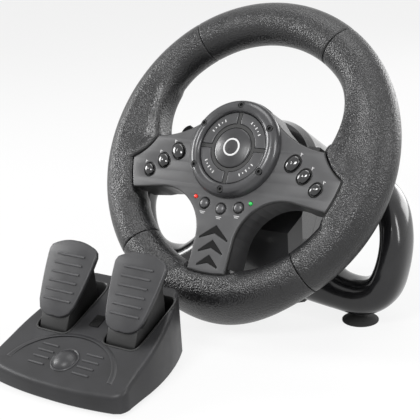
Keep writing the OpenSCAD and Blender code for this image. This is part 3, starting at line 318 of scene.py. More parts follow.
class Finishes:
    """All the finishes of the set."""

    leather = Finish("rim_leather", "grip_leather", Surface.LEATHER, (0.012, 0.012, 0.013), (0.019, 0.019, 0.020),
                     0.27, 0.36, 0.05, 820.0, 0.00026)
    plate = Finish("satin_grey_plate", "plate_grey", Surface.MOULDED, (0.060, 0.060, 0.062), (0.070, 0.070, 0.072),
                   0.32, 0.40, 0.25, 2200.0, 0.00001)
    frame_black = Finish("moulded_frame", "frame_black", Surface.MOULDED, (0.018, 0.018, 0.019),
                         (0.026, 0.026, 0.027), 0.3, 0.42, 0.25, 1500.0, 0.00003)
    # Painted shade: near-black for the gap round the plate, the button wells and the hub divider.
    gap_shade = Finish("painted_gap_shade", "rim_plastic", Surface.MOULDED, (0.006, 0.006, 0.006), (0.01, 0.01, 0.01),
                    0.4, 0.55, 0.0, 1500.0, 0.00002)
    bezel = Finish("bezel_satin_metal", "bezel_dark", Surface.METAL, (0.040, 0.040, 0.042), (0.052, 0.052, 0.055),
                   0.26, 0.34, 0.0, 2400.0, 0.000008, 0.2, 0.2)
    bolt = Finish("blackened_bolt", "bolt_black", Surface.METAL, (0.012, 0.012, 0.013), (0.02, 0.02, 0.02),
                  0.3, 0.4, 0.0, 2000.0, 0.00001, 0.0, 0.3)
    button = Finish("glossy_black_button", "button_black", Surface.GLOSS, (0.008, 0.008, 0.009),
                    (0.012, 0.012, 0.013), 0.08, 0.14, 0.2, 1200.0, 0.000004, 0.6)
    grey_button = Finish("grey_satin_button", "button_grey", Surface.MOULDED, (0.055, 0.055, 0.058),
                         (0.070, 0.070, 0.073), 0.26, 0.34, 0.3, 2000.0, 0.00001)
    arc = Finish("arc_button_grey", "arc_grey", Surface.MOULDED, (0.045, 0.045, 0.047), (0.055, 0.055, 0.058),
                 0.28, 0.36, 0.3, 2000.0, 0.00001, 0.1)
    cap = Finish("cap_dark_grey", "cap_grey", Surface.MOULDED, (0.020, 0.020, 0.021), (0.028, 0.028, 0.030),
                 0.26, 0.34, 0.2, 1800.0, 0.00001, 0.1)
    mark = Finish("pale_mark", "button_grey", Surface.MOULDED, (0.62, 0.62, 0.62), (0.7, 0.7, 0.7),
                  0.4, 0.5, 0.1, 2000.0, 0.00001)
    red = Finish("red_lamp", "led_red", Surface.LAMP, (0.7, 0.02, 0.02), (0.9, 0.05, 0.03), 0.1, 0.2, 0.0,
                 2000.0, 0.000005, 0.5, 0.0, 0.5)
    green = Finish("green_lamp", "led_green", Surface.LAMP, (0.02, 0.42, 0.08), (0.05, 0.6, 0.12), 0.1, 0.2, 0.0,
                   2000.0, 0.000005, 0.5, 0.0, 0.35)
    chevron = Finish("chevron_gloss", "chevron_black", Surface.MOULDED, (0.003, 0.003, 0.003), (0.005, 0.005, 0.005),
                     0.6, 0.7, 0.0, 1600.0, 0.00001, specular=0.15)
    board = Finish("green_board", "board_green", Surface.BOARD, (0.01, 0.09, 0.04), (0.02, 0.13, 0.05),
                   0.3, 0.45, 0.3, 900.0, 0.00002)
    steel = Finish("turned_steel", "steel", Surface.METAL, (0.45, 0.45, 0.46), (0.55, 0.55, 0.56),
                   0.25, 0.35, 0.3, 900.0, 0.00001, 0.0, 1.0, 0.0, 8.0)
    bearing = Finish("bearing_steel", "bearing_steel", Surface.METAL, (0.5, 0.5, 0.51), (0.6, 0.6, 0.61),
                     0.15, 0.25, 0.3, 900.0, 0.000006, 0.0, 1.0)
    nylon = Finish("white_nylon_gear", "gear_white", Surface.MOULDED, (0.6, 0.59, 0.55), (0.68, 0.67, 0.63),
                   0.4, 0.5, 0.2, 1200.0, 0.00002)
    motor = Finish("motor_can", "motor_metal", Surface.METAL, (0.35, 0.35, 0.36), (0.45, 0.45, 0.46),
                   0.25, 0.4, 0.3, 900.0, 0.00001, 0.0, 1.0)
    zinc = Finish("zinc_screw", "screw_zinc", Surface.METAL, (0.42, 0.41, 0.38), (0.55, 0.54, 0.5),
                  0.25, 0.4, 0.4, 1500.0, 0.00001, 0.0, 1.0)
    paddle = Finish("paddle_gloss_black", "paddle_black", Surface.GLOSS, (0.010, 0.010, 0.011),
                    (0.016, 0.016, 0.017), 0.10, 0.18, 0.3, 1200.0, 0.000005, 0.6)
    housing = Finish("housing_gloss_black", "housing_black", Surface.GLOSS, (0.010, 0.010, 0.011),
                     (0.015, 0.015, 0.016), 0.14, 0.24, 0.3, 1200.0, 0.000008, 0.5)
    loop = Finish("loop_gloss_black", "loop_black", Surface.GLOSS, (0.008, 0.008, 0.009), (0.012, 0.012, 0.013),
                  0.16, 0.24, 0.2, 1400.0, 0.000008, 0.3, specular=0.35)
    under = Finish("underside_black", "plate_black", Surface.MOULDED, (0.02, 0.02, 0.02), (0.03, 0.03, 0.03),
                   0.45, 0.6, 0.2, 1000.0, 0.00004)
    inner_steel = Finish("pressed_steel", "frame_steel", Surface.METAL, (0.4, 0.4, 0.41), (0.5, 0.5, 0.51),
                         0.3, 0.45, 0.3, 900.0, 0.00002, 0.0, 1.0)
    sensor = Finish("sensor_blue", "sensor_blue", Surface.MOULDED, (0.02, 0.06, 0.2), (0.03, 0.08, 0.25),
                    0.3, 0.4, 0.2, 1200.0, 0.00001)
    spring = Finish("spring_wire", "spring_steel", Surface.METAL, (0.4, 0.4, 0.4), (0.5, 0.5, 0.5),
                    0.25, 0.35, 0.3, 1200.0, 0.00003, 0.0, 1.0, 0.0, 0.1)
    stop = Finish("stop_rubber", "stop_rubber", Surface.RUBBER, (0.02, 0.02, 0.02), (0.03, 0.03, 0.03),
                  0.6, 0.75, 0.1, 1000.0, 0.00004)
    socket = Finish("socket_black", "socket_black", Surface.MOULDED, (0.02, 0.02, 0.02), (0.03, 0.03, 0.03),
                    0.35, 0.5, 0.2, 1200.0, 0.00002)
    cup = Finish("cup_rubber", "cup_rubber", Surface.RUBBER, (0.012, 0.012, 0.012), (0.02, 0.02, 0.02),
                 0.4, 0.55, 0.1, 900.0, 0.00003)
    pedal_shell = Finish("pedal_shell_satin", "pedal_shell_grey", Surface.MOULDED, (0.017, 0.017, 0.018),
                         (0.022, 0.022, 0.024), 0.38, 0.48, 0.4, 1500.0, 0.00003, specular=0.35)
    pad = Finish("pad_satin", "pad_grey", Surface.MOULDED, (0.026, 0.026, 0.028), (0.033, 0.033, 0.035),
                 0.32, 0.42, 0.45, 1500.0, 0.00002, specular=0.40)
    # Painted shade: a darker copy of the pedal shell finish, on the pit linings, the skirts under the pads and the
    # lever arms inside the pits.
    pit_shade = Finish("pedal_painted_shade", "pedal_shell_grey", Surface.MOULDED, (0.005, 0.005, 0.005),
                 (0.008, 0.008, 0.008), 0.4, 0.5, 0.2, 1500.0, 0.00002)
    badge = Finish("badge_gloss", "badge_black", Surface.GLOSS, (0.006, 0.006, 0.006), (0.01, 0.01, 0.01),
                   0.1, 0.16, 0.1, 1500.0, 0.000005, 0.6)
    foot = Finish("foot_rubber", "foot_rubber", Surface.RUBBER, (0.015, 0.015, 0.015), (0.025, 0.025, 0.025),
                  0.6, 0.75, 0.1, 900.0, 0.00004)


# ---- Mesh helpers ----
class Workshop:
    """Turns outlines, rings and node trees into placed pieces."""

    @staticmethod
    def settle(name: str, mesh: bpy.types.Mesh, space: Matrix, sharp: float = 32.0,
               merge: float = 0.002) -> bpy.types.Object:
        """Clean a mesh drawn in millimetres and put it in its place.

        Args:
            name: name of the piece.
            mesh: the mesh, in millimetres.
            space: where its drawing lies in the frame.
            sharp: edges above this angle in degrees stay sharp.
            merge: points nearer than this become one.

        Returns:
            The object, at the origin, with its place in its mesh.
        """
        work = bmesh.new()
        work.from_mesh(mesh)
        bmesh.ops.remove_doubles(work, verts=work.verts, dist=merge)
        work.transform(space)
        bmesh.ops.dissolve_degenerate(work, edges=work.edges, dist=1e-8)
        bmesh.ops.recalc_face_normals(work, faces=work.faces)
        work.to_mesh(mesh)
        work.free()
        mesh.name = name
        mesh.shade_smooth()
        mesh.set_sharp_from_angle(angle=math.radians(sharp))
        piece = bpy.data.objects.new(name, mesh)
        bpy.context.scene.collection.objects.link(piece)
        return piece

    @classmethod
    def loft(cls, name: str, rings: Sequence[Ring], space: Matrix, sharp: float = 32.0,
             closed: bool = False) -> bpy.types.Object:
        """Join rings of equal length into a closed skin.

        Args:
            name: name of the piece.
            rings: the rings in order, in millimetres.
            space: where they lie.
            sharp: edges above this angle stay sharp.
            closed: whether the last ring joins the first instead of both being capped.

        Returns:
            The piece.
        """
        count = len(rings[0])
        points = [p for ring in rings for p in ring]
        faces: list[tuple[int, ...]] = []
        spans = len(rings) if closed else len(rings) - 1
        for i in range(spans):
            a, b = i * count, ((i + 1) % len(rings)) * count
            for j in range(count):
                k = (j + 1) % count
                faces.append((a + j, a + k, b + k, b + j))
        if not closed:
            faces.append(tuple(range(count - 1, -1, -1)))
            last = (len(rings) - 1) * count
            faces.append(tuple(last + j for j in range(count)))
        mesh = bpy.data.meshes.new(name)
        mesh.from_pydata(points, [], faces)
        return cls.settle(name, mesh, space, sharp)

    @classmethod
    def lathe(cls, name: str, profile: Sequence[Point2], space: Matrix, sides: int = 96,
              sharp: float = 32.0, closed: bool = False) -> bpy.types.Object:
        """Turn a profile about the z axis.

        Args:
            name: name of the piece.
            profile: radius and height of each point in turn.
            space: where it lies.
            sides: how many steps round.
            sharp: edges above this angle stay sharp.
            closed: whether the profile is a closed ring section.

        Returns:
            The piece.
        """
        rings: list[Ring] = []
        for radius, height in profile:
            rings.append([(radius * math.cos(2 * math.pi * j / sides), radius * math.sin(2 * math.pi * j / sides),
                           height) for j in range(sides)])
        return cls.loft(name, rings, space, sharp, closed)

    @classmethod
    def slab(cls, name: str, outlines: Sequence[Sequence[Point2]], bottom: float, top: float, bevel: float,
             space: Matrix, sharp: float = 40.0) -> bpy.types.Object:
        """Make a plate with rounded edges from flat outlines; inner outlines are holes.

        Args:
            name: name of the piece.
            outlines: closed outlines, the outer one first.
            bottom: height of its underside.
            top: height of its face.
            bevel: radius of its edges.
            space: where it lies.
            sharp: edges above this angle stay sharp.

        Returns:
            The piece.
        """
        curve = bpy.data.curves.new(name + "_outline", "CURVE")
        curve.dimensions = "2D"
        curve.fill_mode = "BOTH"
        curve.extrude = max(0.001, (top - bottom) / 2 - bevel)
        curve.bevel_depth = bevel
        curve.bevel_resolution = 3
        curve.offset = -bevel
        for outline in outlines:
            spline = curve.splines.new("POLY")
            spline.points.add(len(outline) - 1)
            for point, place in zip(spline.points, outline):
                point.co = (place[0], place[1], 0.0, 1.0)
            spline.use_cyclic_u = True
        holder = bpy.data.objects.new(name + "_outline", curve)
        bpy.context.scene.collection.objects.link(holder)
        graph = bpy.context.evaluated_depsgraph_get()
        mesh = bpy.data.meshes.new_from_object(holder.evaluated_get(graph))
        bpy.data.objects.remove(holder)
        bpy.data.curves.remove(curve)
        mesh.transform(Matrix.Translation((0.0, 0.0, (top + bottom) / 2)))
        mesh.materials.clear()
        return cls.settle(name, mesh, space, sharp)

    @classmethod
    def carve(cls, piece: bpy.types.Object, cutters: Sequence[bpy.types.Object], sharp: float = 32.0) -> None:
        """Cut other pieces out of a piece, and remove them.

        Args:
            piece: the piece that is cut.
            cutters: the pieces that cut it.
            sharp: edges above this angle stay sharp.
        """
        for cutter in cutters:
            cut = piece.modifiers.new("cut", "BOOLEAN")
            cut.operation = "DIFFERENCE"
            cut.solver = "EXACT"
            cut.object = cutter
        graph = bpy.context.evaluated_depsgraph_get()
        mesh = bpy.data.meshes.new_from_object(piece.evaluated_get(graph))
        piece.modifiers.clear()
        piece.data = mesh
        for cutter in cutters:
            bpy.data.objects.remove(cutter)
        mesh.materials.clear()
        mesh.shade_smooth()
        mesh.set_sharp_from_angle(angle=math.radians(sharp))


class Outlines:
    """Flat outlines shared by the sub-assemblies."""

    @staticmethod
    def oval(place: Point2, half_w: float, half_l: float, turn: float, power: float = 2.25,
             count: int = 48) -> list[Point2]:
        """Give a rounded oval.

        Args:
            place: its centre.
            half_w: half its width.
            half_l: half its length.
            turn: its turn in radians.
            power: 2 for an ellipse, more for squarer shoulders.
            count: how many points.

        Returns:
            The points in order.
        """
        points = []
        for i in range(count):
            a = 2 * math.pi * i / count
            c, s = math.cos(a), math.sin(a)
            u = half_w * math.copysign(abs(c) ** (2 / power), c)
            v = half_l * math.copysign(abs(s) ** (2 / power), s)
            points.append((place[0] + u * math.cos(turn) - v * math.sin(turn),
                           place[1] + u * math.sin(turn) + v * math.cos(turn)))
        return points

    @staticmethod
    def arc(centre: Point2, start: Point2, end: Point2, steps: int) -> list[Point2]:
        """Give the points of an arc without its last one, the short way round.

        Args:
            centre: the arc's centre.
            start: where it starts.
            end: where it ends.
            steps: how many steps it takes.

        Returns:
            The points from the start on.
        """
        radius = math.dist(centre, start)
        a0 = math.atan2(start[1] - centre[1], start[0] - centre[0])
        a1 = math.atan2(end[1] - centre[1], end[0] - centre[0])
        turn = (a1 - a0 + math.pi) % (2 * math.pi) - math.pi
        return [(centre[0] + radius * math.cos(a0 + turn * i / steps),
                 centre[1] + radius * math.sin(a0 + turn * i / steps)) for i in range(steps)]

    @staticmethod
    def meet(c1: Point2, r1: float, c2: Point2, r2: float, side: int) -> Point2:
        """Find where two circles meet.

        Args:
            c1: first centre.
            r1: first radius.
            c2: second centre.
            r2: second radius.
            side: 1 or -1 for the point left or right of the line from the first centre to the second.

        Returns:
            The meeting point.
        """
        d = math.dist(c1, c2)
        a = (d * d + r1 * r1 - r2 * r2) / (2 * d)
        h = math.sqrt(max(0.0, r1 * r1 - a * a))
        ux, uy = (c2[0] - c1[0]) / d, (c2[1] - c1[1]) / d
        return (c1[0] + a * ux - side * h * uy, c1[1] + a * uy + side * h * ux)

    @staticmethod
    def through(a: Point2, b: Point2, c: Point2, steps: int) -> list[Point2]:
        """Give an arc through three points.

        Args:
            a: first point.
            b: point on the way.
            c: last point.
            steps: how many steps.

        Returns:
            The points, both ends included.
        """
        d = 2 * (a[0] * (b[1] - c[1]) + b[0] * (c[1] - a[1]) + c[0] * (a[1] - b[1]))
        aa, bb, cc = (p[0] ** 2 + p[1] ** 2 for p in (a, b, c))
        m = ((aa * (b[1] - c[1]) + bb * (c[1] - a[1]) + cc * (a[1] - b[1])) / d,
             (aa * (c[0] - b[0]) + bb * (a[0] - c[0]) + cc * (b[0] - a[0])) / d)
        r = math.dist(a, m)
        angles = [math.atan2(p[1] - m[1], p[0] - m[0]) for p in (a, b, c)]
        first = (angles[1] - angles[0] + math.pi) % (2 * math.pi) - math.pi
        second = (angles[2] - angles[1] + math.pi) % (2 * math.pi) - math.pi
        return [(m[0] + r * math.cos(angles[0] + (first + second) * i / steps),
                 m[1] + r * math.sin(angles[0] + (first + second) * i / steps)) for i in range(steps + 1)]


class Copies:
    """Geometry node trees for what repeats."""

    @staticmethod
    def run(name: str, tree: bpy.types.NodeTree, values: dict[str, object], space: Matrix) -> bpy.types.Object:
        """Evaluate a tree once and keep its mesh.

        Args:
            name: name of the piece.
            tree: the geometry node tree.
            values: a value for each named input.
            space: where the result lies.

        Returns:
            The piece, as a plain mesh.
        """
        holder = bpy.data.objects.new(name + "_nodes", bpy.data.meshes.new(name + "_nodes"))
        bpy.context.scene.collection.objects.link(holder)
        modifier = holder.modifiers.new("copies", "NODES")
        modifier.node_group = tree
        for item in tree.interface.items_tree:
            if item.item_type == "SOCKET" and item.in_out == "INPUT" and item.name in values:
                modifier[item.identifier] = values[item.name]
        graph = bpy.context.evaluated_depsgraph_get()
        mesh = bpy.data.meshes.new_from_object(holder.evaluated_get(graph))
        holder.modifiers.clear()
        bpy.data.objects.remove(holder)
        mesh.materials.clear()
        return Workshop.settle(name, mesh, space, 32.0, 0.0005)

    @staticmethod
    def begin(name: str, inputs: Sequence[tuple[str, str, object]]) -> bpy.types.NodeTree:
        """Start a tree with its named inputs.

        Args:
            name: name of the tree.
            inputs: name, socket type and default of each input.

        Returns:
            The tree.
        """
        tree = bpy.data.node_groups.new(name, "GeometryNodeTree")
        tree.interface.new_socket(name="Geometry", in_out="INPUT", socket_type="NodeSocketGeometry")
        for label, kind, value in inputs:
            socket = tree.interface.new_socket(name=label, in_out="INPUT", socket_type=kind)
            if value is not None:
                socket.default_value = value
        tree.interface.new_socket(name="Geometry", in_out="OUTPUT", socket_type="NodeSocketGeometry")
        return tree

    @classmethod
    def end(cls, tree: bpy.types.NodeTree, source: bpy.types.Node, geometry: bpy.types.NodeSocket) -> None:
        """Close a tree with Realize Instances and Set Material.

        Args:
            tree: the tree.
            source: its input node.
            geometry: the socket that holds the copies.
        """
        real = tree.nodes.new("GeometryNodeRealizeInstances")
        tree.links.new(geometry, real.inputs["Geometry"])
        paint = tree.nodes.new("GeometryNodeSetMaterial")
        tree.links.new(real.outputs["Geometry"], paint.inputs["Geometry"])
        tree.links.new(source.outputs["Material"], paint.inputs["Material"])
        result = tree.nodes.new("NodeGroupOutput")
        tree.links.new(paint.outputs["Geometry"], result.inputs["Geometry"])

    @classmethod
    def bolt_circle(cls) -> bpy.types.NodeTree:
        """Build the tree of socket-head bolts on a circle.

        Returns:
            The tree.
        """
        tree = cls.begin("bolt_circle", [
            ("Count", "NodeSocketInt", 6), ("Ring Radius", "NodeSocketFloat", 36.0),
            ("Head Radius", "NodeSocketFloat", 2.6), ("Head Height", "NodeSocketFloat", 2.6),
            ("Key Radius", "NodeSocketFloat", 1.4), ("Seat Height", "NodeSocketFloat", 6.2),
            ("Turn", "NodeSocketFloat", 0.5236), ("Seed", "NodeSocketInt", 3),
            ("Material", "NodeSocketMaterial", None)])
        nodes, links = tree.nodes, tree.links
        source = nodes.new("NodeGroupInput")
        circle = nodes.new("GeometryNodeMeshCircle")
        links.new(source.outputs["Count"], circle.inputs["Vertices"])
        links.new(source.outputs["Ring Radius"], circle.inputs["Radius"])
        head = nodes.new("GeometryNodeMeshCylinder")
        head.inputs["Vertices"].default_value = 32
        links.new(source.outputs["Head Radius"], head.inputs["Radius"])
        links.new(source.outputs["Head Height"], head.inputs["Depth"])
        key = nodes.new("GeometryNodeMeshCylinder")
        key.inputs["Vertices"].default_value = 6
        links.new(source.outputs["Key Radius"], key.inputs["Radius"])
        links.new(source.outputs["Head Height"], key.inputs["Depth"])
        lift = nodes.new("GeometryNodeTransform")
        lift.inputs["Translation"].default_value = (0.0, 0.0, 1.1)
        links.new(key.outputs["Mesh"], lift.inputs["Geometry"])
        cut = nodes.new("GeometryNodeMeshBoolean")
        cut.operation = "DIFFERENCE"
        links.new(head.outputs["Mesh"], cut.inputs["Mesh 1"])
        links.new(lift.outputs["Geometry"], cut.inputs["Mesh 2"])
        place = nodes.new("GeometryNodeInstanceOnPoints")
        links.new(circle.outputs["Mesh"], place.inputs["Points"])
        links.new(cut.outputs["Mesh"], place.inputs["Instance"])
        spin = nodes.new("FunctionNodeRandomValue")
        spin.data_type = "FLOAT_VECTOR"
        spin.inputs[0].default_value = (0.0, 0.0, 0.0)
        spin.inputs[1].default_value = (0.0, 0.0, 1.0)
        links.new(source.outputs["Seed"], spin.inputs["Seed"])
        links.new(spin.outputs[0], place.inputs["Rotation"])
        seat = nodes.new("ShaderNodeCombineXYZ")
        links.new(source.outputs["Seat Height"], seat.inputs["Z"])
        turn = nodes.new("ShaderNodeCombineXYZ")
        links.new(source.outputs["Turn"], turn.inputs["Z"])
        move = nodes.new("GeometryNodeTransform")
        links.new(place.outputs["Instances"], move.inputs["Geometry"])
        links.new(seat.outputs["Vector"], move.inputs["Translation"])
        links.new(turn.outputs["Vector"], move.inputs["Rotation"])
        cls.end(tree, source, move.outputs["Geometry"])
        return tree

    @classmethod
    def bar_row(cls) -> bpy.types.NodeTree:
        """Build the tree of half-round bars in a row.

        Returns:
            The tree.
        """
        tree = cls.begin("bar_row", [
            ("Count", "NodeSocketInt", 6), ("Pitch", "NodeSocketFloat", 7.8), ("Width", "NodeSocketFloat", 26.0),
            ("Radius", "NodeSocketFloat", 1.0), ("Seed", "NodeSocketInt", 1), ("Material", "NodeSocketMaterial", None)])
        nodes, links = tree.nodes, tree.links
        source = nodes.new("NodeGroupInput")
        step = nodes.new("ShaderNodeCombineXYZ")
        links.new(source.outputs["Pitch"], step.inputs["Y"])
        line = nodes.new("GeometryNodeMeshLine")
        links.new(source.outputs["Count"], line.inputs["Count"])
        links.new(step.outputs["Vector"], line.inputs["Offset"])
        bar = nodes.new("GeometryNodeMeshCylinder")
        bar.inputs["Vertices"].default_value = 14
        links.new(source.outputs["Radius"], bar.inputs["Radius"])
        links.new(source.outputs["Width"], bar.inputs["Depth"])
        lay = nodes.new("GeometryNodeTransform")
        lay.inputs["Rotation"].default_value = (0.0, math.pi / 2, 0.0)
        links.new(bar.outputs["Mesh"], lay.inputs["Geometry"])
        place = nodes.new("GeometryNodeInstanceOnPoints")
        links.new(line.outputs["Mesh"], place.inputs["Points"])
        links.new(lay.outputs["Geometry"], place.inputs["Instance"])
        cls.end(tree, source, place.outputs["Instances"])
        return tree


def show(piece: bpy.types.Object, finish: Finish, body: str, nodes: Sequence[str] = ()) -> bpy.types.Object:
    """Dress a piece, hang it on its body and hide the plain solids that it replaces.

    Args:
        piece: the piece.
        finish: its finish.
        body: the body that it rides on.
        nodes: the plain solids that it replaces.

    Returns:
        The same piece.
    """
    finish.dress(piece)
    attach(piece, body)
    if nodes:
        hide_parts(*nodes)
    LOG.info("%s: %d faces on %s", piece.name, len(piece.data.polygons), body)
    return piece


def smooth(low: float, high: float, value: float) -> float:
    """Ease from 0 at low to 1 at high."""
    t = max(0.0, min(1.0, (value - low) / (high - low)))
    return t * t * (3 - 2 * t)


# ---- Wheel ----
@dataclass
class RimSkin:
    """Leather skin of the rim in four sections, with thumb rests above the side spokes."""

    centre_r: float = 117.0
    centre_z: float = -15.4
    grip_r: float = 18.0
    seam_top: float = 57.0
    seam_bottom: float = -48.0
    step: float = 1.25
    around: int = 64
    rest_end: float = 46.0

    def inner_edge(self, t: float) -> float:
        """Give how far in the skin reaches.

        Args:
            t: angle from the nearer side spoke, in degrees.

        Returns:
            The radius of its inner edge.
        """
        if t < -70:
            return 99.0 + 4.9 * (1 - smooth(-80.5, -74.0, t))
        if t < -9.3:
            return 99.0 + 2.2 * smooth(-31.0, -25.0, t)
        if t < 4.2:
            d = math.radians(t - 11.61)
            return 124.24 * math.cos(d) - math.sqrt(46.4 ** 2 - (124.24 * math.sin(d)) ** 2)
        if t < self.rest_end:
            part = (t - 4.2) / (self.rest_end - 4.2)
            return 99.0 - 19.4 * (1 - part) ** 1.6 + 1.6 * math.sin(math.pi * part) ** 2
        return 99.0

    def section(self, angle: float, scale: float = 1.0) -> Ring:
        """Draw the skin's section at an angle.

        Args:
            angle: angle round the wheel in degrees.
            scale: size of the section, for the rolled ends.

        Returns:
            The ring of points.
        """
        t = angle % 360.0
        if 90.0 < t < 270.0:
            t = 180.0 - t
        elif t >= 270.0:
            t -= 360.0
        square = smooth(-31, -25, t) * (1 - smooth(6, 44, t)) + (1 - smooth(-80.5, -74, t))
        power = 2.0 + 4.0 * square
        reach = self.centre_r - self.inner_edge(t)
        scoop = 7.5 * smooth(-9, 5, t) * (1 - smooth(15, 40, t))
        bulge = 12.0 * (1 - smooth(-90, -48, t))
        rest = smooth(-8, 4, t) * (1 - smooth(30, 46, t))
        ring: Ring = []
        for j in range(self.around):
            a = 2 * math.pi * j / self.around
            c, s = math.cos(a), math.sin(a)
            if c >= 0:
                r, z = self.grip_r * c, self.grip_r * s
            else:
                width = reach if s >= 0 else min(reach, max(self.grip_r, reach * rest))
                r = -width * abs(c) ** (2 / power)
                z = self.grip_r * math.copysign(abs(s) ** (2 / power), s)
                part = min(1.0, -r / max(reach, 1.0))
                if s >= 0:
                    z -= scoop * math.sin(math.pi * min(1.0, part * 1.05)) ** 1.5
                else:
                    z += 6.0 * square * smooth(0.1, 0.9, part)
            push = bulge * max(0.0, c * 0.70 - s * 0.72) ** 1.5
            r += 0.6 * push
            z -= 0.8 * push
            r, z = r * scale, z * scale
            q = math.radians(angle)
            ring.append(((self.centre_r + r) * math.cos(q), (self.centre_r + r) * math.sin(q), self.centre_z + z))
        return ring

    def sector(self, name: str, start: float, end: float) -> bpy.types.Object:
        """Sweep one section of the skin.

        Args:
            name: name of the piece.
            start: its first angle in degrees.
            end: its last angle in degrees.

        Returns:
            The piece.
        """
        start, end = start + 0.1, end - 0.1
        ends = [(0.0, 0.955), (0.12, 0.978), (0.35, 0.992), (0.75, 1.0)]
        count = int((end - start - 1.5) / self.step)
        rows = [(start + a, s) for a, s in ends]
        rows += [(start + 0.75 + (end - start - 1.5) * i / count, 1.0) for i in range(1, count)]
        rows += [(end - a, s) for a, s in reversed(ends)]
        return Workshop.loft(name, [self.section(a, s) for a, s in rows], WHEEL, 50.0)

    def build(self) -> None:
        """Make the four sections."""
        show(self.sector("rim_skin_top", self.seam_top, 180 - self.seam_top), Finishes.leather, "wheel",
             ["rim_top_cover"])
        show(self.sector("rim_skin_right", self.seam_bottom, self.seam_top), Finishes.leather, "wheel",
             ["right_grip"])
        show(self.sector("rim_skin_left", 180 - self.seam_top, 180 - self.seam_bottom), Finishes.leather, "wheel",
             ["left_grip"])
        show(self.sector("rim_skin_bottom", 180 - self.seam_bottom, 360 + self.seam_bottom), Finishes.leather,
             "wheel", ["rim_bottom_cover"])


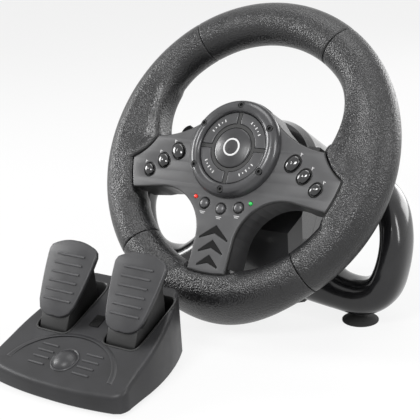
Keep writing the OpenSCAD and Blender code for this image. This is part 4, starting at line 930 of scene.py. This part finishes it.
@dataclass
class SpokeFace:
    """Grey plate over the spokes, with its groove, wells, buttons and lamps."""

    hub_r: float = 41.6
    side_end: float = 101.0
    low_end: float = 103.7
    half_low: float = 17.5
    plate_t: float = 3.0
    row_first: Point2 = (55.0, -6.5)
    row_step: Point2 = (12.4, -9.35)
    row_sizes: tuple[Point2, ...] = ((5.3, 6.9), (4.8, 6.1), (4.3, 5.3))
    row_names: tuple[str, ...] = ("inner", "middle", "outer")
    small_places: tuple[tuple[str, float, float], ...] = (("left", -16.4, -47.6), ("centre", 0.0, -50.4),
                                                          ("right", 16.4, -47.6))
    chevrons: tuple[Point3, ...] = ((-64.6, 13.6, 10.6), (-76.8, 11.4, 9.6), (-89.3, 9.8, 8.3))

    def outline(self, grow: float = 0.0) -> list[Point2]:
        """Draw the outline of the three spokes.

        Args:
            grow: how much wider it is all round.

        Returns:
            The closed outline.
        """
        top, thumb, lower = (86.0, 86.5), (121.7, 25.0), (58.0, -77.5)
        r_top, r_thumb, r_lower = 81.7 - grow, 46.7 - grow, 40.5 - grow
        hub, side, low = self.hub_r + grow, self.side_end + grow, self.low_end + grow
        at_hub = Outlines.meet((0, 0), hub, top, r_top, 1)
        at_tip = Outlines.meet(top, r_top, thumb, r_thumb, -1)
        at_end = Outlines.meet((0, 0), side, thumb, r_thumb, -1)
        low_y = -41.4 - grow
        at_low = (math.sqrt(side ** 2 - low_y ** 2), low_y)
        at_cut = (lower[0] + math.sqrt(max(0.0, r_lower ** 2 - (low_y + 2 - lower[1]) ** 2)) * 0.36, -39.6 - grow)
        half = self.half_low + grow
        at_side = (half, lower[1])
        at_foot = (half, -math.sqrt(low ** 2 - half ** 2))
        cut_r = math.dist(at_cut, lower)
        at_cut = (lower[0] + (at_cut[0] - lower[0]) * r_lower / cut_r,
                  lower[1] + (at_cut[1] - lower[1]) * r_lower / cut_r)
        right = (Outlines.arc((0, 0), (0.0, hub), at_hub, 8) + Outlines.arc(top, at_hub, at_tip, 28)
                 + Outlines.arc(thumb, at_tip, at_end, 14) + Outlines.arc((0, 0), at_end, at_low, 10)
                 + [at_low] + Outlines.arc(lower, at_cut, at_side, 28) + [at_side]
                 + Outlines.arc((0, 0), at_foot, (0.0, -low), 8) + [(0.0, -low)])
        return right + [(-x, y) for x, y in reversed(right[1:-1])]

    def row_place(self, index: int, side: int) -> Point2:
        """Give the centre of an oval button."""
        return (side * (self.row_first[0] + index * self.row_step[0]), self.row_first[1] + index * self.row_step[1])

    def oval(self, index: int, side: int, margin: float) -> list[Point2]:
        """Give the outline of an oval button, with a margin."""
        turn = side * math.atan2(self.row_step[1], self.row_step[0])
        w, h = self.row_sizes[index]
        return Outlines.oval(self.row_place(index, side), w + margin, h + margin, turn)

    def disc(self, place: Point2, radius: float, count: int = 40) -> list[Point2]:
        """Give a circle as points."""
        return Outlines.oval(place, radius, radius, 0.0, 2.0, count)

    def chevron(self, shape: Point3) -> list[Point2]:
        """Give the outline of a chevron's pocket."""
        tip, arm, drop = shape
        end = tip - drop
        return [(0.0, tip), (arm, end), (arm, end - 1.4), (0.0, tip - 6.4), (-arm, end - 1.4), (-arm, end)]

    def build_plate(self) -> None:
        """Make the plate with its holes, and the near-black painted shade in the groove round it."""
        holes = [self.oval(i, side, 1.0) for side in (-1, 1) for i in range(3)]
        holes += [self.disc((x, y), 4.9) for _, x, y in self.small_places]
        holes += [self.disc((side * 26.4, -42.9), 1.7, 24) for side in (-1, 1)]
        holes += [self.chevron(c) for c in self.chevrons]
        plate = Workshop.slab("spoke_face_plate", [self.outline()] + holes, -self.plate_t, 0.0, 0.75, WHEEL, 50.0)
        show(plate, Finishes.plate, "wheel", ["face_plate"])
        # A near-black slab under the plate's edge stands for the shade in the groove.
        gap_shade = Workshop.slab("plate_gap_shade", [self.outline(0.55)], -4.2, -1.0, 0.2, WHEEL)
        show(gap_shade, Finishes.gap_shade, "wheel")

    def build_wells(self) -> None:
        """Make the wells that the buttons sit in, near-black as painted shade round each button."""
        for side, word in ((-1, "left"), (1, "right")):
            rings: list[Ring] = []
            for i, name in enumerate(self.row_names):
                profile = [(1.05, -2.6), (1.05, 0.1), (0.85, 0.32), (0.6, 0.1), (0.45, -0.9), (0.4, -2.6)]
                rings = [[(x, y, z) for x, y in self.oval(i, side, m)] for m, z in profile]
                well = Workshop.loft(f"{word}_{name}_well", rings, WHEEL, 40.0, True)
                show(well, Finishes.gap_shade, "wheel")

    def dome(self, name: str, outline: Sequence[Point2], top: float, skirt: float, centre: Point2,
             crown: float) -> bpy.types.Object:
        """Raise a domed head over an outline.

        Args:
            name: name of the piece.
            outline: the head's outline.
            top: height of the crown.
            skirt: height of the bottom of its side.
            centre: the middle of the head.
            crown: height that the crown stands above the shoulder.

        Returns:
            The piece.
        """
        steps = [(0.86, skirt), (1.0, skirt), (1.0, top - crown - 0.5), (0.985, top - crown - 0.15)]
        steps += [(math.cos(a), top - crown + crown * math.sin(a) * 1.0)
                  for a in [math.radians(v) for v in (14, 24, 35, 46, 57, 68, 79, 86)]]
        rings = [[(centre[0] + (x - centre[0]) * k, centre[1] + (y - centre[1]) * k, z) for x, y in outline]
                 for k, z in steps]
        return Workshop.loft(name, rings, WHEEL, 60.0)

    def build_buttons(self) -> None:
        """Make the oval and the small round buttons with their pale marks."""
        for side, word in ((-1, "left"), (1, "right")):
            for i, name in enumerate(self.row_names):
                node = f"{word}_button_{name}"
                place = self.row_place(i, side)
                head = self.dome(node + "_head", self.oval(i, side, -0.1), 2.6, -4.4, place, 2.0)
                show(head, Finishes.button, node, [node])
                shapes = [
                    [(-0.3, -1.1), (0.3, -1.1), (0.3, 1.1), (-0.3, 1.1)],
                    [(-0.9, -0.8), (0.9, -0.8), (0.0, 0.9)],
                    [(-1.0, -0.25), (1.0, -0.25), (1.0, 0.25), (-1.0, 0.25)],
                ]
                mark = Workshop.slab(node + "_mark", [[(place[0] + x, place[1] + y) for x, y in shapes[i]]],
                                     2.2, 2.66, 0.04, WHEEL)
                show(mark, Finishes.mark, node)
        for word, x, y in self.small_places:
            node = f"small_button_{word}"
            head = self.dome(node + "_head", self.disc((x, y), 4.0), 1.8, -4.4, (x, y), 1.3)
            show(head, Finishes.grey_button, node, [node])
            # The well round each small button is near-black as painted shade.
            well = Workshop.lathe(f"{node}_well", [(4.85, -2.6), (4.85, -0.05), (4.6, 0.12), (4.35, -0.1), (4.3, -2.6)],
                                  WHEEL @ Matrix.Translation((x, y, 0.0)), 48, 40.0, True)
            show(well, Finishes.gap_shade, "wheel")

    def build_marks(self) -> None:
        """Print the plain pale marks beside the buttons."""
        marks: list[list[Point2]] = []
        for side in (-1, 1):
            for i in range(3):
                x, y = self.row_place(i, side)
                x, y = x + side * 5.6, y + 8.2 - 0.8 * i
                marks.append([(x - 0.3, y - 1.3), (x + 0.3, y - 1.3), (x + 0.3, y + 1.3), (x - 0.3, y + 1.3)])
                marks.append([(x + 0.7, y + 0.1), (x + 1.6, y + 0.1), (x + 1.6, y + 0.7), (x + 0.7, y + 0.7)])
        for _, x, y in self.small_places:
            for k, wide in ((0, 2.6), (1, 1.7)):
                low = y - 7.4 - 1.3 * k
                marks.append([(x - wide, low), (x + wide, low), (x + wide, low + 0.5), (x - wide, low + 0.5)])
        show(Workshop.slab("face_marks", marks, -0.2, 0.04, 0.01, WHEEL), Finishes.mark, "wheel")

    def build(self) -> None:
        """Make the whole face."""
        self.build_marks()
        self.build_plate()
        self.build_wells()
        self.build_buttons()


@dataclass
class Hub:
    """Bezel, bolts, arc buttons and cap."""

    outer_r: float = 41.6
    inner_r: float = 30.6
    height: float = 8.5
    bolt_r: float = 36.0
    cap_r: float = 17.0
    divider_r: float = 20.2
    arm_w: float = 3.0
    gap: float = 0.4

    def build_bezel(self) -> None:
        """Make the bezel ring with six seats, and its bolts."""
        i, o, h = self.inner_r, self.outer_r, self.height
        profile = [(i, 0.0), (o - 0.3, 0.0), (o, 0.3), (o, 2.0), (o - 0.3, 3.1), (o - 1.1, 5.0), (o - 2.3, 6.6),
                   (o - 3.9, 7.7), (o - 5.4, 8.3), (o - 6.6, h), (i + 3.2, h - 0.2), (i + 2.2, h - 0.5),
                   (i + 1.2, h - 1.2), (i + 0.4, h - 2.2), (i, h - 3.3)]
        ring = Workshop.lathe("bezel_ring", profile, WHEEL, 192, 60.0, True)
        cutters = []
        for k in range(6):
            a = math.radians(30 + 60 * k)
            spot = WHEEL @ Matrix.Translation((self.bolt_r * math.cos(a), self.bolt_r * math.sin(a), 0.0))
            cutters.append(Workshop.lathe(f"bolt_seat_{k}", [(0.0, 5.2), (2.95, 5.2), (2.95, 12.0), (0.0, 12.0)],
                                          spot, 48))
        Workshop.carve(ring, cutters, 38.0)
        show(ring, Finishes.bezel, "wheel", ["hub_bezel"])
        bolts = Copies.run("bezel_socket_bolts", Copies.bolt_circle(),
                           {"Count": 6, "Ring Radius": self.bolt_r, "Head Radius": 2.6, "Head Height": 2.8,
                            "Key Radius": 1.5, "Seat Height": 6.6, "Turn": math.radians(30.0), "Seed": 3}, WHEEL)
        show(bolts, Finishes.bolt, "wheel", ["bezel_bolts"])

    def build_arcs(self) -> None:
        """Make the four arc buttons with rounded edges."""
        r0, r1, edge = self.divider_r + self.gap, self.inner_r - self.gap, self.arm_w / 2 + self.gap
        a0, a1 = math.asin(edge / r0), math.asin(edge / r1)
        outer = [(r1 * math.cos(a), r1 * math.sin(a))
                 for a in [a1 + (math.pi / 2 - 2 * a1) * k / 20 for k in range(21)]]
        inner = [(r0 * math.cos(a), r0 * math.sin(a))
                 for a in [math.pi / 2 - a0 - (math.pi / 2 - 2 * a0) * k / 16 for k in range(17)]]
        names = ("upper_right", "upper_left", "lower_left", "lower_right")
        for k, word in enumerate(names):
            spot = WHEEL @ Matrix.Rotation(k * math.pi / 2, 4, "Z")
            node = f"hub_button_{word}"
            arc = Workshop.slab(node + "_key", [outer + inner], -1.0, 5.2, 0.7, spot, 50.0)
            show(arc, Finishes.arc, node, [node])
            dashes = []
            for step in (-2, -1, 0, 1, 2):
                a = math.radians(45.0 + step * 7.5)
                half = 0.6 if step % 2 else 1.2
                c, n = (25.3 * math.cos(a), 25.3 * math.sin(a)), (math.cos(a), math.sin(a))
                t = (-n[1], n[0])
                dashes.append([(c[0] + n[0] * u * half + t[0] * v * 0.45, c[1] + n[1] * u * half + t[1] * v * 0.45)
                               for u, v in ((-1, -1), (1, -1), (1, 1), (-1, 1))])
            ticks = Workshop.slab(node + "_ticks", dashes, 5.0, 5.24, 0.01, spot)
            show(ticks, Finishes.mark, node)

    def build_cap(self) -> None:
        """Make the domed cap with a plain raised ring on it."""
        r = self.cap_r
        profile = [(0.0, -2.0), (r - 0.6, -2.0), (r, -1.6), (r, 4.3), (r - 0.25, 4.9), (r - 0.9, 5.35)]
        profile += [(k, 7.4 - k * k / 120.0) for k in (15.0, 13.0, 11.0, 9.0, 6.5, 4.0, 2.0, 0.0)]
        show(Workshop.lathe("domed_cap", profile, WHEEL, 128, 45.0), Finishes.cap, "wheel", ["hub_cap"])
        crown = [(7.6, 6.6), (7.6, 7.02), (7.3, 7.1), (6.4, 7.16), (6.1, 7.1), (6.1, 6.6)]
        show(Workshop.lathe("cap_ring", crown, WHEEL, 96, 45.0, True), Finishes.mark, "wheel")

    def build(self) -> None:
        """Make the whole hub."""
        self.build_bezel()
        self.build_arcs()
        self.build_cap()


@dataclass
class Paddles:
    """Two gloss paddles behind the side spokes."""

    pivot_x: float = 55.0
    reach: float = 29.0
    height_z: float = -38.5
    thickness: float = 4.0

    def outline(self) -> list[Point2]:
        """Draw the rounded plan of the right paddle.

        Returns:
            The closed outline.
        """
        x = self.pivot_x
        rounds = [((x + self.reach - 9, 19.0), 9.0, -5, 80), ((x + 13, 17.0), 7.0, 85, 175),
                  ((x + 3.2, 6.0), 2.0, 150, 210), ((x + 12, -14.0), 4.0, 190, 280),
                  ((x + self.reach - 8, -10.0), 8.0, 285, 358)]
        points = []
        for centre, radius, start, end in rounds:
            for k in range(9):
                a = math.radians(start + (end - start) * k / 8)
                points.append((centre[0] + radius * math.cos(a), centre[1] + radius * math.sin(a)))
        return points

    def build(self) -> None:
        """Make both paddles and their hinge barrels."""
        for side, word in ((1, "right"), (-1, "left")):
            points = [(side * x, y) for x, y in self.outline()]
            low, high = self.height_z - self.thickness / 2, self.height_z + self.thickness / 2
            blade = Workshop.slab(f"{word}_paddle_blade", [points], low, high, 1.2, WHEEL, 50.0)
            show(blade, Finishes.paddle, f"{word}_paddle", [f"{word}_paddle"])
            spot = (WHEEL @ Matrix.Translation((side * self.pivot_x, 12.6, self.height_z))
                    @ Matrix.Rotation(math.pi / 2, 4, "X"))
            barrel = Workshop.lathe(f"{word}_paddle_barrel",
                                    [(0.0, 0.0), (3.1, 0.0), (3.6, 0.5), (3.6, 26.0), (3.1, 26.5), (0.0, 26.5)],
                                    spot, 40)
            show(barrel, Finishes.paddle, f"{word}_paddle")


# ---- Base ----
@dataclass
class Loops:
    """Glossy loops at both sides of the base."""

    knots: tuple[tuple[float, float, float, float, float], ...] = ()
    around: int = 48
    steps: int = 9

    def __post_init__(self) -> None:
        """Fill in the knots: place, half thickness and half depth of the band."""
        top, out, foot = 107.98, 139.0, 7.0
        self.knots = (
            (46.0, 66, top - 9, 11, 17), (72, 61, top, 11, 18), (out - 39, 51, top - 1, 11, 18),
            (out - 20, 41, top - 13, 11, 18), (out - 11.5, 31, top - 34, 11.5, 18),
            (out - 13, 26, foot + 43, 12.5, 18), (out - 21, 25, foot + 24.5, 14, 18),
            (out - 37, 25, foot + 15.3, 14.8, 18), (80, 27, foot + 15.7, 15, 18),
            (62, 30, foot + 20.5, 19.7, 20), (46.0, 33, foot + 27, 26, 22))

    def path(self) -> list[tuple[float, ...]]:
        """Give the smooth path through the knots.

        Returns:
            Place, half thickness and half depth at each step.
        """
        k = self.knots
        result = []
        for i in range(len(k) - 1):
            p = [k[max(0, min(len(k) - 1, i + d))] for d in (-1, 0, 1, 2)]
            for s in range(self.steps):
                t = s / self.steps
                result.append(tuple(0.5 * (2 * b + (c - a) * t + (2 * a - 5 * b + 4 * c - d) * t * t
                                           + (3 * b - a - 3 * c + d) * t ** 3) for a, b, c, d in zip(*p)))
        result.append(k[-1])
        return result

    def build(self) -> None:
        """Make both loops."""
        path = self.path()
        last = len(path) - 1
        for side, word in ((1, "right"), (-1, "left")):
            rings: list[Ring] = []
            for i, c in enumerate(path):
                before, after = path[max(0, i - 1)], path[min(last, i + 1)]
                dx, dz = after[0] - before[0], after[2] - before[2]
                if i in (0, last):
                    dx, dz = (1.0, 0.0) if i == 0 else (-1.0, 0.0)
                size = math.hypot(dx, dz)
                ax, az = dz / size, -dx / size
                ring = []
                for j in range(self.around):
                    a = 2 * math.pi * j / self.around
                    ca, sa = math.cos(a), math.sin(a)
                    u = c[3] * math.copysign(abs(ca) ** 0.82, ca)
                    v = c[4] * math.copysign(abs(sa) ** 0.82, sa)
                    ring.append((side * (c[0] + ax * u), c[1] + v, c[2] + az * u))
                rings.append(ring)
            loop = Workshop.loft(f"{word}_loop_band", rings, BASE, 50.0)
            show(loop, Finishes.loop, "base", [f"{word}_loop"])


# ---- Pedal unit ----
@dataclass
class PedalUnit:
    """Pedal shell, its heel ribs and dome, and the two pads."""

    width: float = 130.0
    depth: float = 112.0
    front_h: float = 14.0
    slope: float = math.radians(20.0)
    taper: float = 0.66
    bow: float = 6.0
    spacing: float = 66.0
    pad_len: float = 61.0
    pad_w: float = 48.0
    pad_tilt: float = math.radians(54.0)
    foot_v: float = 52.0

    def top(self, v: float) -> float:
        """Give the height of the sloping top at a distance from the front."""
        return self.front_h + v * math.tan(self.slope)

    def plan(self, inset: float) -> list[Point2]:
        """Draw the plan of the shell.

        Args:
            inset: how much smaller it is all round.

        Returns:
            The closed outline.
        """
        half, back_half = self.width / 2 - inset, self.width / 2 * self.taper - inset
        front, back, bow = inset, self.depth - inset, self.bow
        right = (Outlines.through((0, front), (half * 0.5, front + 1.4), (half * 0.9, front + bow * 0.9), 10)
                 + Outlines.through((half * 0.97, front + bow * 1.3), (half, front + 12), (half, front + 18.01), 6)
                 + Outlines.through((half * 0.985, self.depth * 0.3), (half * 0.92, self.depth * 0.6),
                                    (back_half + 4, back - 8), 10)
                 + Outlines.through((back_half + 1.6, back - 3), (back_half - 1, back - 0.8), (back_half - 6, back), 5))
        return right + [(-x, y) for x, y in reversed(right[1:])]

    def build_shell(self) -> None:
        """Make the shell with its rounded edge and the two pits."""
        levels = [(0.6, None, 2.0), (0.0, None, 2.8), (0.0, 4.0, 0.0), (0.15, 2.6, 0.0), (0.6, 1.3, 0.0),
                  (1.3, 0.45, 0.0), (2.4, 0.08, 0.0), (3.4, 0.0, 0.0)]
        rings: list[Ring] = []
        for inset, drop, flat in levels:
            rings.append([(x, y, flat if drop is None else self.top(y) - drop) for x, y in self.plan(inset)])
        shell = Workshop.loft("pedal_shell_skin", rings, PEDALS, 28.0)
        cutters = []
        for side in (-1, 1):
            hole = Outlines.oval((side * self.spacing / 2, 73.5), 16.5, 27.5, 0.0, 7.0, 64)
            cutters.append(Workshop.slab(f"pit_{side}", [hole], 10.0, 90.0, 0.01, PEDALS))
        hole = [(-7.5, 108.0), (7.5, 108.0), (7.5, 116.0), (-7.5, 116.0)]
        cutters.append(Workshop.slab("socket_pit", [hole], 10.0, 22.0, 0.01, PEDALS))
        Workshop.carve(shell, cutters, 28.0)
        show(shell, Finishes.pedal_shell, "base", ["pedal_base_shell"])
        # The collars line the pits in the darker shell copy: painted shade in the recesses.
        for side, word in ((-1, "left"), (1, "right")):
            collar = []
            for grow, lift in ((0.0, -6.0), (0.0, 0.2), (0.5, 0.7), (1.4, 0.5), (1.6, -0.4), (1.6, -6.0)):
                ring = Outlines.oval((side * self.spacing / 2, 73.5), 16.4 + grow, 27.4 + grow, 0.0, 7.0, 64)
                collar.append([(x, y, self.top(y) + lift) for x, y in ring])
            show(Workshop.loft(f"{word}_pit_shade_collar", collar, PEDALS, 40.0, True), Finishes.pit_shade, "base")

    def build_details(self) -> None:
        """Make the dome, the heel ribs and the raised crease on the sloping top."""
        on_top = Matrix.Translation((0.0, 24.0, self.top(24.0))) @ Matrix.Rotation(self.slope, 4, "X")
        profile = [(0.0, -1.0), (11.4, -1.0), (11.4, 0.4), (10.9, 0.8), (10.2, 0.7), (9.8, 0.35), (9.4, 0.8),
                   (8.6, 1.8), (7.0, 2.9), (5.0, 3.7), (2.6, 4.15), (0.0, 4.3)]
        show(Workshop.lathe("heel_dome", profile, PEDALS @ on_top, 72, 45.0), Finishes.pad, "base")
        for side, word in ((-1, "left"), (1, "right")):
            spot = (PEDALS @ Matrix.Translation((side * 21.5, 15.5, self.top(15.5) + 0.1))
                    @ Matrix.Rotation(self.slope, 4, "X"))
            bars = Copies.run(f"{word}_heel_ribs", Copies.bar_row(),
                              {"Count": 4, "Pitch": 6.4, "Width": 15.0, "Radius": 0.8, "Seed": 1}, spot)
            show(bars, Finishes.pad, "base")
        rings: list[Ring] = []
        for k in range(49):
            a = math.radians(176 - 172 * k / 48)
            x, y = 49.0 * math.cos(a), 12.0 + 36.0 * math.sin(a)
            nx, ny = math.cos(a), math.sin(a)
            ring = []
            for j in range(8):
                b = 2 * math.pi * j / 8
                ring.append((x + nx * 2.4 * math.cos(b), y + ny * 2.4 * math.cos(b), self.top(y) + 0.45 * math.sin(b)))
            rings.append(ring)
        crease = Workshop.loft("shield_crease", rings, PEDALS, 60.0)
        show(crease, Finishes.pedal_shell, "base")

    def pad_plan(self, grow: float) -> list[Point2]:
        """Draw the outline of a pad in its own plane.

        Args:
            grow: how much larger it is.

        Returns:
            The closed outline.
        """
        half, length = self.pad_w / 2 + grow, self.pad_len
        right = (Outlines.through((0, -grow), (half * 0.35, 0.3 - grow), (half * 0.62, length * 0.07), 6)
                 + Outlines.through((half * 0.74, length * 0.17), (half * 0.92, length * 0.55),
                                    (half, length * 0.84), 10)
                 + Outlines.through((half * 0.93, length * 0.905), (half * 0.5, length * 0.978), (0, length + grow), 8))
        return right + [(-x, y) for x, y in reversed(right[1:-1])]

    def build_pads(self) -> None:
        """Make both pads with their ribs, skirts and levers."""
        foot_z = self.top(self.foot_v) + 7.0
        up = (math.cos(self.pad_tilt), math.sin(self.pad_tilt))
        profile = [(48.5, 20.0), (48.5, 30.6), (self.foot_v + 0.4, foot_z + 0.8),
                   (self.foot_v + 50 * up[0] - 1.0, foot_z + 50 * up[1]),
                   (self.foot_v + 50 * up[0] + 6, foot_z + 50 * up[1] - 5), (89.0, 52.0), (89.0, 38.0), (60.0, 15.0)]
        for side, word in ((-1, "left"), (1, "right")):
            spot = (PEDALS @ Matrix.Translation((side * self.spacing / 2, self.foot_v, foot_z))
                    @ Matrix.Rotation(self.pad_tilt, 4, "X"))
            pad = Workshop.slab(f"{word}_pad_plate", [self.pad_plan(0.0)], 0.0, 3.4, 1.2, spot, 50.0)
            show(pad, Finishes.pad, f"{word}_pedal", [f"{word}_pedal"])
            bars = Copies.run(f"{word}_pad_ribs", Copies.bar_row(),
                              {"Count": 6, "Pitch": 7.2, "Width": 27.0, "Radius": 0.95, "Seed": 2},
                              spot @ Matrix.Translation((0.0, 12.5, 3.4)))
            show(bars, Finishes.pad, f"{word}_pedal")
            # The skirt under each pad and the lever arm take the darker shell copy: painted shade under the pads and in
            # the pits.
            skirt = Workshop.slab(f"{word}_pad_shade_skirt", [self.pad_plan(-3.5)], -5.0, 0.4, 0.8, spot, 50.0)
            show(skirt, Finishes.pit_shade, f"{word}_pedal")
            rings = []
            for x, shrink in ((-13.6, 0.94), (-13.2, 0.985), (-12.6, 1.0), (12.6, 1.0), (13.2, 0.985), (13.6, 0.94)):
                cy = sum(p[0] for p in profile) / len(profile)
                cz = sum(p[1] for p in profile) / len(profile)
                rings.append([(side * self.spacing / 2 + x, cy + (y - cy) * shrink, cz + (z - cz) * shrink)
                              for y, z in profile])
            lever = Workshop.loft(f"{word}_lever_arm", rings, PEDALS, 30.0)
            show(lever, Finishes.pit_shade, f"{word}_pedal")

    def build(self) -> None:
        """Make the whole pedal unit."""
        self.build_shell()
        self.build_details()
        self.build_pads()


@dataclass
class Innards:
    """Solids whose shape stays as it is and only take a finish."""

    finishes: dict[str, Finish] = field(default_factory=lambda: {
        "wheel_frame": Finishes.frame_black, "wheel_back_cover": Finishes.frame_black,
        # The hub divider takes the near-black gap finish as painted shade, so its ring and arms read as shaded grooves.
        "hub_divider": Finishes.gap_shade, "red_led": Finishes.red, "green_led": Finishes.green,
        "chevron_inlays": Finishes.chevron, "wheel_circuit_board": Finishes.board,
        "steering_shaft": Finishes.steel, "shaft_bolt": Finishes.bolt, "drive_gear": Finishes.nylon,
        "rumble_motors": Finishes.motor, "wheel_screws": Finishes.zinc, "paddle_pins": Finishes.steel,
        "housing_front_shell": Finishes.housing, "housing_rear_shell": Finishes.housing,
        "base_plate": Finishes.under, "column_frame": Finishes.inner_steel,
        "shaft_bearings": Finishes.bearing, "sensor_gear": Finishes.nylon, "angle_sensor": Finishes.sensor,
        "centring_spring": Finishes.spring, "rubber_stops": Finishes.stop,
        "main_circuit_board": Finishes.board, "cable_sockets": Finishes.socket,
        "suction_cups": Finishes.cup, "base_screws": Finishes.zinc, "pedal_base_plate": Finishes.under,
        "pedal_badge": Finishes.badge, "pedal_pins": Finishes.steel, "pedal_springs": Finishes.spring,
        "pedal_sensors": Finishes.sensor, "pedal_feet": Finishes.foot})

    def build(self) -> None:
        """Dress each of them."""
        for name, finish in self.finishes.items():
            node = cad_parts.get(name)
            if node is None:
                LOG.warning("no solid named %s", name)
                continue
            finish.dress(node)
            LOG.info("%s: dressed in %s", name, finish.name)


# ---- Studio ----
@dataclass
class Studio:
    """Pale floor, soft lamps, plain world and the camera."""

    camera_place: Point3 = (0.4337, -0.6325, 0.3478)
    azimuth: float = 34.70
    elevation: float = 17.84
    roll: float = -3.5
    lens: float = 86.2
    sensor_width: float = 36.0
    floor_reach: float = 4.0
    floor_drop: float = 0.0002
    floor_tone: float = 0.86
    floor_roughness: float = 0.9
    floor_glow_share: float = 0.84
    room_strength: float = 0.20
    seen_strength: float = 1.0

    def build_floor(self) -> None:
        """Lay the floor, pale to the eye and still taking the shadow."""
        mesh = bpy.data.meshes.new("studio_floor")
        edge, low = self.floor_reach, -self.floor_drop
        mesh.from_pydata([(-edge, -edge, low), (edge, -edge, low), (edge, edge, low), (-edge, edge, low)],
                         [], [(0, 1, 2, 3)])
        floor = bpy.data.objects.new("studio_floor", mesh)
        bpy.context.scene.collection.objects.link(floor)
        material = bpy.data.materials.new("pale_floor")
        material.use_nodes = True
        nodes, links = material.node_tree.nodes, material.node_tree.links
        shader = nodes["Principled BSDF"]
        shader.inputs["Base Color"].default_value = (self.floor_tone, self.floor_tone, self.floor_tone, 1.0)
        shader.inputs["Roughness"].default_value = self.floor_roughness
        glow = nodes.new("ShaderNodeEmission")
        glow.inputs["Strength"].default_value = 1.0
        path = nodes.new("ShaderNodeLightPath")
        part = nodes.new("ShaderNodeMath")
        part.operation = "MULTIPLY"
        part.inputs[1].default_value = self.floor_glow_share
        seen = nodes.new("ShaderNodeMath")
        seen.operation = "MAXIMUM"
        links.new(path.outputs["Is Camera Ray"], seen.inputs[0])
        links.new(path.outputs["Is Glossy Ray"], seen.inputs[1])
        through = nodes.new("ShaderNodeMath")
        through.operation = "MAXIMUM"
        links.new(seen.outputs["Value"], through.inputs[0])
        links.new(path.outputs["Is Transmission Ray"], through.inputs[1])
        links.new(through.outputs["Value"], part.inputs[0])
        mix = nodes.new("ShaderNodeMixShader")
        links.new(part.outputs["Value"], mix.inputs["Fac"])
        links.new(shader.outputs["BSDF"], mix.inputs[1])
        links.new(glow.outputs["Emission"], mix.inputs[2])
        links.new(mix.outputs["Shader"], nodes["Material Output"].inputs["Surface"])
        mesh.materials.append(material)

    def build_world(self) -> None:
        """Light the room evenly, white where it is seen, mirrored or seen through."""
        world = bpy.data.worlds.new("studio_world")
        bpy.context.scene.world = world
        world.use_nodes = True
        nodes, links = world.node_tree.nodes, world.node_tree.links
        back = nodes["Background"]
        back.inputs["Color"].default_value = (1.0, 1.0, 1.0, 1.0)
        path = nodes.new("ShaderNodeLightPath")
        seen = nodes.new("ShaderNodeMath")
        seen.operation = "MAXIMUM"
        links.new(path.outputs["Is Camera Ray"], seen.inputs[0])
        links.new(path.outputs["Is Transmission Ray"], seen.inputs[1])
        level = nodes.new("ShaderNodeMapRange")
        level.inputs["To Min"].default_value = self.room_strength
        level.inputs["To Max"].default_value = self.seen_strength
        either = nodes.new("ShaderNodeMath")
        either.operation = "MAXIMUM"
        links.new(seen.outputs["Value"], either.inputs[0])
        links.new(path.outputs["Is Glossy Ray"], either.inputs[1])
        links.new(either.outputs["Value"], level.inputs["Value"])
        links.new(level.outputs["Result"], back.inputs["Strength"])

    def lamp(self, name: str, place: Point3, target: Point3, size: tuple[float, float], power: float) -> None:
        """Hang one soft lamp.

        Args:
            name: name of the lamp.
            place: where it hangs.
            target: what it faces.
            size: its width and height.
            power: its power in watts.
        """
        data = bpy.data.lights.new(name, "AREA")
        data.shape = "RECTANGLE"
        data.size, data.size_y = size
        data.energy = power
        lamp = bpy.data.objects.new(name, data)
        bpy.context.scene.collection.objects.link(lamp)
        lamp.location = place
        lamp.rotation_euler = (Vector(target) - Vector(place)).to_track_quat("-Z", "Y").to_euler()

    def build_camera(self) -> None:
        """Set the camera at the usual viewing angle."""
        data = bpy.data.cameras.new("view_camera")
        data.lens = self.lens
        data.sensor_width = self.sensor_width
        camera = bpy.data.objects.new("view_camera", data)
        bpy.context.scene.collection.objects.link(camera)
        a, e = math.radians(self.azimuth), math.radians(self.elevation)
        back = Vector((math.sin(a) * math.cos(e), -math.cos(a) * math.cos(e), math.sin(e)))
        turn = (-back).to_track_quat("-Z", "Y") @ Quaternion((0, 0, 1), math.radians(self.roll))
        camera.rotation_mode = "QUATERNION"
        camera.rotation_quaternion = turn
        camera.location = self.camera_place
        bpy.context.scene.camera = camera

    def build(self) -> None:
        """Set the whole studio."""
        self.build_camera()
        self.build_floor()
        self.build_world()
        self.lamp("key_lamp", (0.05, -1.15, 1.15), (0.0, 0.0, 0.12), (0.45, 0.35), 12.0)
        self.lamp("left_lamp", (-1.25, -0.40, 0.60), (-0.05, 0.0, 0.12), (0.30, 0.60), 11.0)
        self.lamp("right_lamp", (1.20, -0.10, 0.70), (0.05, 0.0, 0.10), (0.25, 0.70), 7.0)
        self.lamp("top_lamp", (0.0, 0.25, 1.40), (0.0, 0.0, 0.10), (1.0, 0.5), 7.0)
        self.lamp("back_lamp", (0.45, 1.35, 0.35), (0.05, 0.0, 0.12), (0.9, 0.5), 7.0)
        bpy.context.scene.view_settings.view_transform = "Standard"


def main() -> None:
    """Build every sub-assembly in order."""
    logging.basicConfig(level=logging.INFO, format="%(name)s: %(message)s")
    Studio().build()
    RimSkin().build()
    SpokeFace().build()
    Hub().build()
    Paddles().build()
    Loops().build()
    PedalUnit().build()
    Innards().build()


if __name__ == "__main__":
    main()
